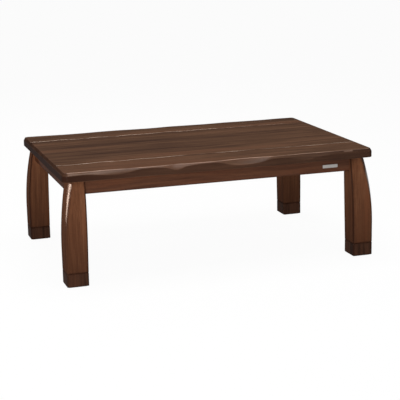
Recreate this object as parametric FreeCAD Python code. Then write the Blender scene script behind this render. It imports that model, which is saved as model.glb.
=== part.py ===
import FreeCAD, Part
import math
import os

# A kotatsu: a low heated table with a lift-off carved board, a joined underframe,
# a fan heater hung in the middle of it, and a plug-in extension foot under each leg.
# Origin: middle of the footprint, on the floor. X runs along the table, the front is
# toward -Y, and Z is up. All lengths are in millimetres.

Vector = FreeCAD.Vector
X_AXIS = Vector(1, 0, 0)
Y_AXIS = Vector(0, 1, 0)
Z_AXIS = Vector(0, 0, 1)
ORIGIN = Vector(0, 0, 0)
SQRT2 = math.sqrt(2)
FULL_TURN = 360

# Whole table
TABLE_HEIGHT = 420.0
BOARD_LENGTH = 1200.0
BOARD_DEPTH = 800.0
BOARD_THICKNESS = 34.0
BOARD_OVERHANG = 24.0

# Flat sides of screws, bolts, dowels, pins and their holes, which are drawn plain
FASTENER_SIDES = 8

# Clearances that many pieces share
FIT_CLEARANCE = 0.05
RUNNING_CLEARANCE = 0.05
PASSING_CLEARANCE = 0.3
HOLE_END_GAP = 0.5
OVERRUN = 5.0

# Board outline, end bevels and carved long edges
BOARD_CORNER_RADIUS = 20.0
BOARD_UNDER_ARRIS = 2.0
END_BEVEL_DROP = 11.0
END_BEVEL_INSET = 6.5
CARVE_DROP = 22.0
CARVE_INSET = 15.0
CUTTER_OVERHANG_SHARE = 0.5

# Planks of the board, their tongues and the grooves along the joints
FRONT_PLANK_WIDTH = 153.0
REAR_PLANK_WIDTH = 137.0
JOINT_GROOVE_DEPTH = 1.8
JOINT_GROOVE_HALF_WIDTH = 1.6
TONGUE_WIDTH = 24.0
TONGUE_THICKNESS = 8.0
TONGUE_RISE = 15.0
TONGUE_STOP = 40.0
TONGUE_CLEARANCE = 0.1

# Steel channels that keep the board flat
CHANNEL_SPREAD = 300.0
CHANNEL_WIDTH = 30.0
CHANNEL_HEIGHT = 9.0
CHANNEL_WALL = 1.6
CHANNEL_RECESS = 3.0
CHANNEL_HOLD = 65.0
CHANNEL_SCREW_END = 25.0
CHANNEL_SIDE_CLEARANCE = 0.3
CHANNEL_SCREW_RADIUS = 3.0
CHANNEL_SCREW_LENGTH = 18.0
CHANNEL_SCREW_HEAD_RADIUS = 5.5
CHANNEL_SCREW_HEAD_HEIGHT = 2.5

# Pads between the underframe and the board
PAD_RADIUS = 9.0
PAD_THICKNESS = 2.0

# Legs
LEG_SIDE = 80.0
LEG_BOW_INSET = 24.0
LEG_BOW_START = 78.0
LEG_CORNER_CHAMFER_TOP = 18.0
LEG_CORNER_CHAMFER_FOOT = 3.5
LEG_ARRIS = 2.0
LEG_SEAT_DEPTH = 10.0
LEG_SEAT_HEIGHT = 62.0

# Extension feet, their pegs, the bushes that take the pegs, and the felt glides
FOOT_HEIGHT = 50.0
PEG_RADIUS = 8.0
PEG_SEAT = 30.0
PEG_REACH = 36.0
PEG_TIP_CHAMFER = 1.5
BUSH_WALL = 3.0
BUSH_LENGTH = 40.0
BUSH_MOUTH_CHAMFER = 1.0
GLIDE_THICKNESS = 2.0
GLIDE_MARGIN = 6.0
GLIDE_CORNER_RADIUS = 5.0

# Aprons
APRON_HEIGHT = 50.0
APRON_THICKNESS = 20.0
APRON_REVEAL = 7.0
APRON_ARRIS = 1.5

# Corner brackets and the bolts through them
BRACKET_HEIGHT = 36.0
BRACKET_THICKNESS = 2.5
BRACKET_STANDOFF = 26.0
BRACKET_FLANGE = 35.0
BRACKET_BEND_RADIUS = 3.0
BRACKET_SCREW_SHARES = (0.3, 0.75)
BRACKET_SCREW_RADIUS = 2.0
BRACKET_SCREW_LENGTH = 16.0
BRACKET_SCREW_HEAD_RADIUS = 4.0
BRACKET_SCREW_HEAD_HEIGHT = 2.4
LEG_BOLT_RADIUS = 4.0
LEG_BOLT_GRIP = 50.0
LEG_BOLT_TAIL = 4.0
WASHER_RADIUS = 9.0
WASHER_THICKNESS = 1.6
NUT_SIDES = 6
NUT_ACROSS_FLATS = 13.0
NUT_HEIGHT = 6.5

# Rails across the underframe and their dowels
RAIL_WIDTH = 30.0
RAIL_HEIGHT = 30.0
RAIL_DROP = 3.0
RAIL_ARRIS = 1.5
SUPPORT_RAIL_INSET = 160.0
DOWEL_RADIUS = 4.0
DOWEL_IN_APRON = 12.0
DOWEL_IN_RAIL_END = 20.0
DOWEL_IN_RAIL_SIDE = 15.0

# Heater housing
HEATER_OPENING = 300.0
HEATER_SIDE_GAP = 7.0
HOUSING_RISE = 24.0
HOUSING_DROP = 33.0
HOUSING_WALL = 1.2
HOUSING_CORNER_RADIUS = 12.0
HOUSING_TOP_RADIUS = 6.0
FLANGE_BEARING = 14.0
FLANGE_SCREW_INSET = 7.0
FLANGE_SCREW_SPREAD = 110.0
FLANGE_SCREW_RADIUS = 2.0
FLANGE_SCREW_LENGTH = 20.0
FLANGE_SCREW_HEAD_RADIUS = 4.5
FLANGE_SCREW_HEAD_HEIGHT = 2.6
BOSS_RADIUS = 5.0
BOSS_HEIGHT = 22.0
BOSS_INSET = 6.0

# Heater insides
INSULATION_THICKNESS = 3.0
INSULATION_MARGIN = 1.0
REFLECTOR_DROP = 19.0
REFLECTOR_SHEET = 0.8
REFLECTOR_TURN_UP = 12.0
REFLECTOR_END_GAP = 8.0
TROUGH_GAP = 2.0
TUBE_SPREAD = 95.0
TUBE_RADIUS = 6.0
TUBE_WALL = 1.2
TUBE_SEAT = 8.0
COIL_RADIUS = 3.5
COIL_PLUG_LENGTH = 10.0
COIL_END_INSET = 2.0
HOLDER_DEPTH = 16.0
HOLDER_WIDTH = 24.0
HOLDER_HEIGHT = 22.0
STRAP_LENGTH = 90.0
STRAP_WIDTH = 34.0
STRAP_THICKNESS = 1.5
MOTOR_RADIUS = 28.0
MOTOR_HEIGHT = 18.0
MOTOR_NOSE_RADIUS = 8.0
MOTOR_NOSE_HEIGHT = 4.0
MOTOR_PASSING_GAP = 3.0
SHAFT_RADIUS = 2.5
SHAFT_IN_MOTOR = 14.0
SHAFT_END_GAP = 0.3
FAN_MOTOR_GAP = 3.0
FAN_HUB_RADIUS = 12.0
FAN_HUB_HEIGHT = 14.0
FAN_HUB_CAP = 2.0
FAN_RADIUS = 48.0
FAN_BLADE_THICKNESS = 1.6
FAN_BLADE_HEIGHT = 9.0
FAN_BLADE_ROOT_CHORD = 14.0
FAN_BLADE_TIP_CHORD = 26.0
FAN_BLADE_SINK = 1.5
FAN_BLADES = 5
THERMOSTAT_X = 70.0
THERMOSTAT_RADIUS = 8.0
THERMOSTAT_HEIGHT = 7.0
THERMOSTAT_FLANGE_RADIUS = 12.0
THERMOSTAT_FLANGE_HEIGHT = 1.0
FUSE_LENGTH = 14.0
FUSE_WIDTH = 5.0
FUSE_SIDE_GAP = 10.0
TERMINAL_X = 88.0
TERMINAL_LENGTH = 18.0
TERMINAL_WIDTH = 34.0
TERMINAL_HEIGHT = 12.0
TERMINAL_SLOT_WIDTH = 6.0
TERMINAL_SLOT_DEPTH = 5.0
TERMINAL_POLES = 3

# Cord inlet in the side of the heater
INLET_WIDTH = 36.0
INLET_HEIGHT = 16.0
INLET_DEPTH = 24.0
INLET_LIP = 1.5
INLET_LIP_THICKNESS = 2.0
INLET_PROUD = 8.0
INLET_TOP_GAP = 1.5
INLET_WALL = 3.5
INLET_SOCKET_DEPTH = 14.0
PIN_RADIUS = 2.0
PIN_SPACING = 15.0
PIN_SEAT = 6.0
PIN_REACH = 11.0

# Guard grille under the heater
GUARD_THICKNESS = 3.0
GUARD_RIM = 3.0
GUARD_RIM_HEIGHT = 8.0
GUARD_SIDE_CLEARANCE = 0.3
GUARD_CORNER_RADIUS = 15.0
GUARD_FIELD_MARGIN = 20.0
SLOT_WIDTH = 7.5
SLOT_PITCH = 13.0
SLOT_COLUMN_RIB = 8.0
SLOT_COLUMNS = 3
GUARD_SCREW_RADIUS = 1.8
GUARD_SCREW_LENGTH = 14.0
GUARD_SCREW_HEAD_RADIUS = 4.0
GUARD_SCREW_HEAD_HEIGHT = 2.2

# Carving along each long edge, from the left of someone who faces that edge:
# (place along the edge, drop of the bevel, inset of its top line), as shares of half
# the straight run, of CARVE_DROP and of CARVE_INSET.
FRONT_CARVING_SHARES = (
    (-0.89, 0.43, 0.42),
    (-0.76, 0.77, 0.52),
    (-0.64, 0.73, 0.45),
    (-0.53, 0.24, 0.22),
    (-0.40, 0.30, 0.30),
    (-0.31, 0.90, 0.62),
    (-0.24, 0.42, 0.34),
    (-0.13, 0.26, 0.20),
    (-0.03, 0.34, 0.26),
    (0.06, 0.88, 0.66),
    (0.14, 1.00, 0.90),
    (0.24, 0.86, 0.76),
    (0.32, 0.48, 0.30),
    (0.43, 0.52, 0.32),
    (0.55, 0.98, 0.70),
    (0.65, 0.82, 0.60),
    (0.74, 0.46, 0.42),
    (0.87, 0.40, 0.52),
)
REAR_CARVING_SHARES = (
    (-0.90, 0.40, 0.36),
    (-0.77, 0.84, 0.66),
    (-0.62, 0.70, 0.60),
    (-0.47, 0.36, 0.42),
    (-0.32, 0.78, 0.72),
    (-0.18, 0.48, 0.60),
    (-0.04, 0.44, 0.46),
    (0.10, 0.96, 0.92),
    (0.22, 0.80, 0.80),
    (0.34, 0.38, 0.44),
    (0.47, 0.50, 0.50),
    (0.60, 0.94, 0.92),
    (0.74, 0.98, 1.00),
    (0.88, 0.56, 0.66),
)

# Each corner of the table: name, side of the table along X and Y, and the turn that
# brings a piece drawn for the rear right corner there.
CORNERS = (
    ("rear_right", 1, 1, 0),
    ("rear_left", -1, 1, 90),
    ("front_left", -1, -1, 180),
    ("front_right", 1, -1, 270),
)

# Heights that follow from the sizes above
BOARD_BOTTOM = TABLE_HEIGHT - BOARD_THICKNESS
FRAME_TOP = BOARD_BOTTOM - PAD_THICKNESS
LEG_BOTTOM = GLIDE_THICKNESS + FOOT_HEIGHT
APRON_BOTTOM = FRAME_TOP - APRON_HEIGHT
BOLT_LEVEL = FRAME_TOP - APRON_HEIGHT / 2
RAIL_TOP = FRAME_TOP - RAIL_DROP
RAIL_BOTTOM = RAIL_TOP - RAIL_HEIGHT
RAIL_MIDDLE = (RAIL_TOP + RAIL_BOTTOM) / 2

# Plan places: the inner corner of each leg, and the apron faces measured outward from it
LEG_TOP_SIDE = LEG_SIDE - LEG_BOW_INSET
LEG_X = BOARD_LENGTH / 2 - BOARD_OVERHANG - LEG_TOP_SIDE
LEG_Y = BOARD_DEPTH / 2 - BOARD_OVERHANG - LEG_TOP_SIDE
APRON_OUTER = LEG_TOP_SIDE - APRON_REVEAL
APRON_INNER = APRON_OUTER - APRON_THICKNESS
SUPPORT_RAIL_X = LEG_X - SUPPORT_RAIL_INSET
HEATER_RAIL_X = (HEATER_OPENING + RAIL_WIDTH) / 2

# Heater levels, from the top down, and its half widths
HOUSING_TOP = RAIL_BOTTOM + HOUSING_RISE
HOUSING_BOTTOM = RAIL_BOTTOM - HOUSING_DROP
HOUSING_HALF = HEATER_OPENING / 2 - HEATER_SIDE_GAP
HOUSING_INNER = HOUSING_HALF - HOUSING_WALL
INSULATION_TOP = HOUSING_TOP - HOUSING_WALL
INSULATION_BOTTOM = INSULATION_TOP - INSULATION_THICKNESS
REFLECTOR_LEVEL = INSULATION_BOTTOM - REFLECTOR_DROP
MOTOR_TOP = INSULATION_BOTTOM - STRAP_THICKNESS
MOTOR_BOTTOM = MOTOR_TOP - MOTOR_HEIGHT
NOSE_BOTTOM = MOTOR_BOTTOM - MOTOR_NOSE_HEIGHT
FAN_TOP = NOSE_BOTTOM - FAN_MOTOR_GAP
FAN_BOTTOM = FAN_TOP - FAN_HUB_HEIGHT
HOLDER_FACE = HOUSING_INNER - HOLDER_DEPTH
BOSS_PLACE = HOUSING_INNER - BOSS_INSET


def block(low, high):
    """Box between two opposite corner points."""
    size = high.sub(low)
    return Part.makeBox(size.x, size.y, size.z, low)


def prism(points, sweep):
    """Solid made by sweeping the closed outline of the points along a vector."""
    return Part.Face(Part.makePolygon(points + [points[0]])).extrude(sweep)


def rod(radius, start, along, length):
    """Round bar from a start point, along a direction."""
    return Part.makeCylinder(radius, length, start, along)


def flat_sided(sides, corner_radius, start, along, length):
    """Straight bar with equal flat sides, from a start point, along a direction."""
    corners = []
    for n in range(sides):
        turn = math.radians(FULL_TURN * n / sides)
        corners.append(Vector(corner_radius * math.cos(turn), corner_radius * math.sin(turn), 0))
    bar = prism(corners, Z_AXIS * length)
    bar.Placement = FreeCAD.Placement(start, FreeCAD.Rotation(Z_AXIS, along))
    return bar


def pin(radius, start, along, length):
    """Plain form of a small round pin, shank or its hole."""
    return flat_sided(FASTENER_SIDES, radius, start, along, length)


def turned(outline, start, along):
    """Solid turned from (radius, height) pairs about an axis through the start point."""
    points = [Vector(radius, 0, height) for radius, height in outline]
    solid = Part.Face(Part.makePolygon(points + [points[0]])).revolve(ORIGIN, Z_AXIS, FULL_TURN)
    solid.Placement = FreeCAD.Placement(start, FreeCAD.Rotation(Z_AXIS, along))
    return solid


def rounded_slab(half_x, half_y, corner_radius, bottom, top):
    """Plate with rounded plan corners, centred on the origin."""
    slab = block(Vector(-half_x, -half_y, bottom), Vector(half_x, half_y, top))
    uprights = [edge for edge in slab.Edges if is_upright(edge)]
    return slab.makeFillet(corner_radius, uprights)


def is_upright(edge):
    """True for a straight edge that runs along Z."""
    ends = [vertex.Point for vertex in edge.Vertexes]
    return len(ends) == 2 and ends[0].sub(ends[1]).cross(Z_AXIS).Length < FIT_CLEARANCE


def edges_at_level(shape, level):
    """Edges of a shape that lie wholly in a level plane."""
    return [
        edge
        for edge in shape.Edges
        if max(abs(edge.BoundBox.ZMin - level), abs(edge.BoundBox.ZMax - level)) < FIT_CLEARANCE
    ]


def turn_about_z(shape, degrees):
    """Copy of a shape, turned about the upright axis of the table."""
    copy = shape.copy()
    copy.rotate(ORIGIN, Z_AXIS, degrees)
    return copy


def at_corner(shape, corner):
    """Copy of a piece drawn from the leg's inner corner outward, at one table corner."""
    side_x, side_y, degrees = corner[1:]
    copy = turn_about_z(shape, degrees)
    copy.translate(Vector(side_x * LEG_X, side_y * LEG_Y, 0))
    return copy


def at_all_corners(shape):
    """One group of four copies of a corner piece."""
    return Part.makeCompound([at_corner(shape, corner) for corner in CORNERS])


def diagonal(distance, level):
    """Point outward from a leg's inner corner, along the diagonal between its faces."""
    return Vector(distance / SQRT2, distance / SQRT2, level)


OUTWARD = diagonal(SQRT2, 0)


def screw(radius, length, head_radius, head_height, start, along):
    """Plain screw whose head rests on the start point and whose shank runs along."""
    head = pin(head_radius, start - along * head_height, along, head_height)
    return head.fuse(pin(radius, start, along, length)).Solids[0]


# Legs and feet

def bowed_prism(foot_reach, top_reach, back, degrees):
    """Upright slab, flat at the back, whose face bows inward toward the top."""
    rise = LEG_BOTTOM + LEG_BOW_START
    height = FRAME_TOP - rise
    inset = foot_reach - top_reach
    radius = (height * height + inset * inset) / (2 * inset)
    half_angle = math.asin(height / radius) / 2
    reach_midway = foot_reach - radius + radius * math.cos(half_angle)
    level_midway = rise + radius * math.sin(half_angle)
    width = LEG_SIDE * SQRT2

    def point(reach, level):
        return Vector(reach, -width, level)

    bow = Part.Arc(
        point(foot_reach, rise),
        point(reach_midway, level_midway),
        point(top_reach, FRAME_TOP),
    ).toShape()
    rest = Part.makePolygon([
        point(top_reach, FRAME_TOP),
        point(back, FRAME_TOP),
        point(back, LEG_BOTTOM),
        point(foot_reach, LEG_BOTTOM),
        point(foot_reach, rise),
    ])
    outline = Part.Wire([bow] + rest.Edges)
    return turn_about_z(Part.Face(outline).extrude(Y_AXIS * (2 * width)), degrees)


def leg_socket_bore():
    """Bore up the middle of a leg for the bush."""
    start = Vector(LEG_SIDE / 2, LEG_SIDE / 2, LEG_BOTTOM - OVERRUN)
    radius = PEG_RADIUS + RUNNING_CLEARANCE + BUSH_WALL + FIT_CLEARANCE
    return rod(radius, start, Z_AXIS, OVERRUN + BUSH_LENGTH + HOLE_END_GAP)


def side_corner_edges(column):
    """The two upright corner lines of a leg or foot that carry a plain arris."""
    found = []
    for edge in column.Edges:
        box = edge.BoundBox
        on_x_face = box.XMax < FIT_CLEARANCE and box.YMin > LEG_TOP_SIDE - FIT_CLEARANCE
        on_y_face = box.YMax < FIT_CLEARANCE and box.XMin > LEG_TOP_SIDE - FIT_CLEARANCE
        if (on_x_face or on_y_face) and box.ZLength > LEG_ARRIS:
            found.append(edge)
    return found


def leg():
    """Stout leg: flat inner faces, bowed outer faces, and a corner that widens upward."""
    corner_foot = LEG_SIDE * SQRT2 - LEG_CORNER_CHAMFER_FOOT / SQRT2
    corner_top = LEG_TOP_SIDE * SQRT2 - LEG_CORNER_CHAMFER_TOP / SQRT2
    body = bowed_prism(LEG_SIDE, LEG_TOP_SIDE, 0, 0)
    body = body.common(bowed_prism(LEG_SIDE, LEG_TOP_SIDE, 0, 90))
    body = body.common(bowed_prism(corner_foot, corner_top, LEG_ARRIS / SQRT2, 45))
    softened = side_corner_edges(body) + edges_at_level(body, LEG_BOTTOM)
    body = body.Solids[0].makeChamfer(LEG_ARRIS, softened)
    return body.cut([leg_socket_bore(), leg_bolt_seat(), leg_bolt_hole()])


def leg_bolt_seat():
    """Waste cut off the inner corner of a leg, to leave a flat square to the bolt."""
    width = LEG_SIDE
    seat = block(
        Vector(-OVERRUN, -width, FRAME_TOP - LEG_SEAT_HEIGHT),
        Vector(LEG_SEAT_DEPTH, width, FRAME_TOP + OVERRUN),
    )
    return turn_about_z(seat, 45)


def leg_bolt_hole():
    """Blind hole into the leg for its bolt."""
    length = LEG_BOLT_GRIP + OVERRUN + HOLE_END_GAP
    return pin(LEG_BOLT_RADIUS + FIT_CLEARANCE, diagonal(-OVERRUN, BOLT_LEVEL), OUTWARD, length)


def bush():
    """Nylon bush pressed into the foot of a leg."""
    bore = PEG_RADIUS + RUNNING_CLEARANCE
    outer = bore + BUSH_WALL
    outline = [
        (bore + BUSH_MOUTH_CHAMFER, 0),
        (outer, 0),
        (outer, BUSH_LENGTH),
        (bore, BUSH_LENGTH),
        (bore, BUSH_MOUTH_CHAMFER),
    ]
    return turned(outline, Vector(LEG_SIDE / 2, LEG_SIDE / 2, LEG_BOTTOM), Z_AXIS)


def foot_block():
    """Extension foot: a square block in line with the leg above it."""
    side = Vector(LEG_SIDE, LEG_SIDE, LEG_BOTTOM)
    body = block(Vector(0, 0, GLIDE_THICKNESS), side)
    corner_reach = LEG_SIDE * SQRT2 - LEG_CORNER_CHAMFER_FOOT / SQRT2
    diagonal_slab = block(
        Vector(LEG_ARRIS / SQRT2, -LEG_SIDE, GLIDE_THICKNESS),
        Vector(corner_reach, LEG_SIDE, LEG_BOTTOM),
    )
    body = body.common(turn_about_z(diagonal_slab, 45)).Solids[0]
    softened = side_corner_edges(body)
    softened += edges_at_level(body, LEG_BOTTOM) + edges_at_level(body, GLIDE_THICKNESS)
    body = body.makeChamfer(LEG_ARRIS, softened)
    start = Vector(LEG_SIDE / 2, LEG_SIDE / 2, LEG_BOTTOM - PEG_SEAT)
    return body.cut(rod(PEG_RADIUS + FIT_CLEARANCE, start, Z_AXIS, PEG_SEAT + OVERRUN))


def foot_peg():
    """Turned peg glued into the foot, which plugs into the bush of the leg."""
    length = PEG_SEAT + PEG_REACH
    outline = [
        (0, 0),
        (PEG_RADIUS, 0),
        (PEG_RADIUS, length - PEG_TIP_CHAMFER),
        (PEG_RADIUS - PEG_TIP_CHAMFER, length),
        (0, length),
    ]
    return turned(outline, Vector(LEG_SIDE / 2, LEG_SIDE / 2, LEG_BOTTOM - PEG_SEAT), Z_AXIS)


def foot_glide():
    """Felt pad under the foot."""
    half = LEG_SIDE / 2 - GLIDE_MARGIN
    pad = rounded_slab(half, half, GLIDE_CORNER_RADIUS, 0, GLIDE_THICKNESS)
    pad.translate(Vector(LEG_SIDE / 2, LEG_SIDE / 2, 0))
    return pad


# Aprons, brackets and bolts

def beam_section(width, low, high, arris, start):
    """Outline of a bar's end, with its four long corners eased, in a plane across X."""
    near = -width / 2
    far = width / 2
    pairs = (
        (near + arris, low), (far - arris, low), (far, low + arris), (far, high - arris),
        (far - arris, high), (near + arris, high), (near, high - arris), (near, low + arris),
    )
    return [Vector(start, across, level) for across, level in pairs]


def beam(half_length, width, low, high, arris):
    """Bar along X with eased long corners, centred on the origin in plan."""
    outline = beam_section(width, low, high, arris, -half_length)
    return prism(outline, X_AXIS * (2 * half_length))


def apron(half_length, leg_line, degrees):
    """Apron between two legs: leg_line is how far their inner faces lie from the middle."""
    bar = beam(half_length, APRON_THICKNESS, APRON_BOTTOM, FRAME_TOP, APRON_ARRIS)
    bar.translate(Vector(0, -leg_line - (APRON_INNER + APRON_OUTER) / 2, 0))
    bar = turn_about_z(bar, degrees)
    holes = [at_all_corners(bracket_screw_holes()), dowel_holes()]
    return bar.cut(holes)


def corner_bracket():
    """Bent steel plate across a corner, with a flange along each apron."""
    face = APRON_INNER
    sheet = BRACKET_THICKNESS
    run = BRACKET_STANDOFF * SQRT2 + face
    bend = run + sheet * (SQRT2 - 1)
    end = run + BRACKET_FLANGE
    pairs = (
        (-end, face), (-run, face), (face, -run), (face, -end),
        (face - sheet, -end), (face - sheet, -bend), (-bend, face - sheet), (-end, face - sheet),
    )
    low = BOLT_LEVEL - BRACKET_HEIGHT / 2
    plate = prism([Vector(x, y, low) for x, y in pairs], Z_AXIS * BRACKET_HEIGHT)
    room_side = [edge for edge in plate.Edges if is_bracket_bend(edge, bend, face - sheet)]
    plate = plate.makeFillet(BRACKET_BEND_RADIUS + sheet, room_side)
    wall_side = [edge for edge in plate.Edges if is_bracket_bend(edge, run, face)]
    plate = plate.makeFillet(BRACKET_BEND_RADIUS, wall_side)
    bolt_hole = pin(
        LEG_BOLT_RADIUS + PASSING_CLEARANCE,
        diagonal(-BRACKET_STANDOFF - sheet - OVERRUN, BOLT_LEVEL),
        OUTWARD,
        sheet + OVERRUN + OVERRUN,
    )
    return plate.cut([bolt_hole, bracket_screw_holes()])


def is_bracket_bend(edge, run, face):
    """True for an upright edge of the bracket at either end of its diagonal plate."""
    if not is_upright(edge):
        return False
    place = edge.Vertexes[0].Point
    first = Vector(-run, face, place.z)
    second = Vector(face, -run, place.z)
    return min(place.distanceToPoint(first), place.distanceToPoint(second)) < FIT_CLEARANCE


def bracket_screw_spots():
    """Start point and direction of each screw of one bracket."""
    spots = []
    run = BRACKET_STANDOFF * SQRT2 + APRON_INNER
    room_face = APRON_INNER - BRACKET_THICKNESS
    for share in BRACKET_SCREW_SHARES:
        place = run + BRACKET_FLANGE * share
        spots.append((Vector(-place, room_face, BOLT_LEVEL), Y_AXIS))
        spots.append((Vector(room_face, -place, BOLT_LEVEL), X_AXIS))
    return spots


def bracket_screws():
    """Screws that hold one bracket to the aprons."""
    return Part.makeCompound([
        screw(
            BRACKET_SCREW_RADIUS,
            BRACKET_SCREW_LENGTH,
            BRACKET_SCREW_HEAD_RADIUS,
            BRACKET_SCREW_HEAD_HEIGHT,
            start,
            along,
        )
        for start, along in bracket_screw_spots()
    ])


def bracket_screw_holes():
    """Holes for the screws of one bracket, through the flange and into the aprons."""
    radius = BRACKET_SCREW_RADIUS + FIT_CLEARANCE
    length = BRACKET_SCREW_LENGTH + HOLE_END_GAP
    return Part.makeCompound([
        pin(radius, start, along, length) for start, along in bracket_screw_spots()
    ])


def leg_bolt():
    """Hanger bolt from inside the leg, out through the bracket."""
    tail = BRACKET_STANDOFF + BRACKET_THICKNESS + WASHER_THICKNESS + NUT_HEIGHT + LEG_BOLT_TAIL
    return pin(LEG_BOLT_RADIUS, diagonal(-tail, BOLT_LEVEL), OUTWARD, tail + LEG_BOLT_GRIP)


def leg_bolt_washer():
    """Flat washer on the room side of the bracket."""
    start = diagonal(-BRACKET_STANDOFF - BRACKET_THICKNESS - WASHER_THICKNESS, BOLT_LEVEL)
    disc = rod(WASHER_RADIUS, start, OUTWARD, WASHER_THICKNESS)
    return disc.cut(pin(LEG_BOLT_RADIUS + PASSING_CLEARANCE, start, OUTWARD, WASHER_THICKNESS))


def leg_bolt_nut():
    """Hexagon nut on the washer."""
    behind = BRACKET_STANDOFF + BRACKET_THICKNESS + WASHER_THICKNESS + NUT_HEIGHT
    start = diagonal(-behind, BOLT_LEVEL)
    corner_radius = NUT_ACROSS_FLATS / 2 / math.cos(math.pi / NUT_SIDES)
    nut = flat_sided(NUT_SIDES, corner_radius, start, OUTWARD, NUT_HEIGHT)
    return nut.cut(pin(LEG_BOLT_RADIUS + FIT_CLEARANCE, start, OUTWARD, NUT_HEIGHT))


def board_pads():
    """Rubber pads on the leg tops and on the middle of the long aprons."""
    leg_middle = Vector(LEG_TOP_SIDE / 2, LEG_TOP_SIDE / 2, FRAME_TOP)
    leg_pad = rod(PAD_RADIUS, leg_middle, Z_AXIS, PAD_THICKNESS)
    apron_middle = LEG_Y + (APRON_INNER + APRON_OUTER) / 2
    pads = [at_corner(leg_pad, corner) for corner in CORNERS]
    for side in (-1, 1):
        place = Vector(0, side * apron_middle, FRAME_TOP)
        pads.append(rod(PAD_RADIUS, place, Z_AXIS, PAD_THICKNESS))
    return Part.makeCompound(pads)


# Rails and dowels

def dowel_spots():
    """Start, direction and length of every dowel of the rails."""
    spots = []
    rail_end = LEG_Y + APRON_INNER
    for x in (-SUPPORT_RAIL_X, -HEATER_RAIL_X, HEATER_RAIL_X, SUPPORT_RAIL_X):
        for side in (-1, 1):
            start = Vector(x, side * (rail_end - DOWEL_IN_RAIL_END), RAIL_MIDDLE)
            spots.append((start, Y_AXIS * side, DOWEL_IN_RAIL_END + DOWEL_IN_APRON))
    for y in (-HEATER_RAIL_X, HEATER_RAIL_X):
        for side in (-1, 1):
            start = Vector(side * (HEATER_OPENING / 2 - DOWEL_IN_RAIL_END), y, RAIL_MIDDLE)
            spots.append((start, X_AXIS * side, DOWEL_IN_RAIL_END + DOWEL_IN_RAIL_SIDE))
    return spots


def rail_dowels():
    """Beech dowels that join the rails to the aprons and to each other."""
    return Part.makeCompound([
        pin(DOWEL_RADIUS, start, along, length) for start, along, length in dowel_spots()
    ])


def dowel_holes():
    """Holes for the dowels, a little longer than they are at each end."""
    radius = DOWEL_RADIUS + FIT_CLEARANCE
    return Part.makeCompound([
        pin(radius, start - along * HOLE_END_GAP, along, length + HOLE_END_GAP + HOLE_END_GAP)
        for start, along, length in dowel_spots()
    ])


def cross_rail(x):
    """Rail from the front apron to the rear one."""
    rail = beam(LEG_Y + APRON_INNER, RAIL_WIDTH, RAIL_BOTTOM, RAIL_TOP, RAIL_ARRIS)
    rail = turn_about_z(rail, 90)
    rail.translate(Vector(x, 0, 0))
    return rail.cut([dowel_holes(), flange_screw_holes()])


def short_rail(y):
    """Rail between the two heater rails, along the front or rear of the heater."""
    rail = beam(HEATER_OPENING / 2, RAIL_WIDTH, RAIL_BOTTOM, RAIL_TOP, RAIL_ARRIS)
    rail.translate(Vector(0, y, 0))
    return rail.cut(dowel_holes())


# Heater

def pan(half, corner_radius, top_radius, bottom, top):
    """Square block with rounded corners and a rounded top edge."""
    body = rounded_slab(half, half, corner_radius, bottom, top)
    return body.makeFillet(top_radius, edges_at_level(body, top))


def heater_housing():
    """Pressed steel pan, open below, hung from the rails by its flange."""
    outer = pan(HOUSING_HALF, HOUSING_CORNER_RADIUS, HOUSING_TOP_RADIUS, HOUSING_BOTTOM, HOUSING_TOP)
    inner = pan(
        HOUSING_INNER,
        HOUSING_CORNER_RADIUS - HOUSING_WALL,
        HOUSING_TOP_RADIUS - HOUSING_WALL,
        HOUSING_BOTTOM - OVERRUN,
        INSULATION_TOP,
    )
    flange_half = HEATER_OPENING / 2 + FLANGE_BEARING
    flange = rounded_slab(
        flange_half, flange_half, HOUSING_CORNER_RADIUS, RAIL_BOTTOM - HOUSING_WALL, RAIL_BOTTOM
    )
    boss = pin(BOSS_RADIUS, Vector(BOSS_PLACE, BOSS_PLACE, HOUSING_BOTTOM), Z_AXIS, BOSS_HEIGHT)
    bosses = Part.makeCompound([turn_about_z(boss, corner[3]) for corner in CORNERS])
    shell = outer.fuse(flange).cut(inner)
    shell = shell.fuse(bosses.common(outer).Solids)
    return shell.cut([flange_screw_holes(), guard_screw_holes(), inlet_hole()])


def flange_screw_spots():
    """Places of the screws under the flange, two along each heater rail."""
    x = HEATER_OPENING / 2 + FLANGE_SCREW_INSET
    level = RAIL_BOTTOM - HOUSING_WALL
    return [
        Vector(side_x * x, side_y * FLANGE_SCREW_SPREAD, level)
        for side_x in (-1, 1)
        for side_y in (-1, 1)
    ]


def flange_screws():
    """Screws that fasten the heater to the rails."""
    return Part.makeCompound([
        screw(
            FLANGE_SCREW_RADIUS,
            FLANGE_SCREW_LENGTH,
            FLANGE_SCREW_HEAD_RADIUS,
            FLANGE_SCREW_HEAD_HEIGHT,
            spot,
            Z_AXIS,
        )
        for spot in flange_screw_spots()
    ])


def flange_screw_holes():
    """Holes through the flange and up into the rails."""
    radius = FLANGE_SCREW_RADIUS + FIT_CLEARANCE
    length = FLANGE_SCREW_LENGTH + HOLE_END_GAP
    return Part.makeCompound([pin(radius, spot, Z_AXIS, length) for spot in flange_screw_spots()])


def insulation_sheet():
    """Mica sheet under the top of the housing."""
    half = HOUSING_INNER - HOUSING_TOP_RADIUS - INSULATION_MARGIN
    return block(Vector(-half, -half, INSULATION_BOTTOM), Vector(half, half, INSULATION_TOP))


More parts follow.
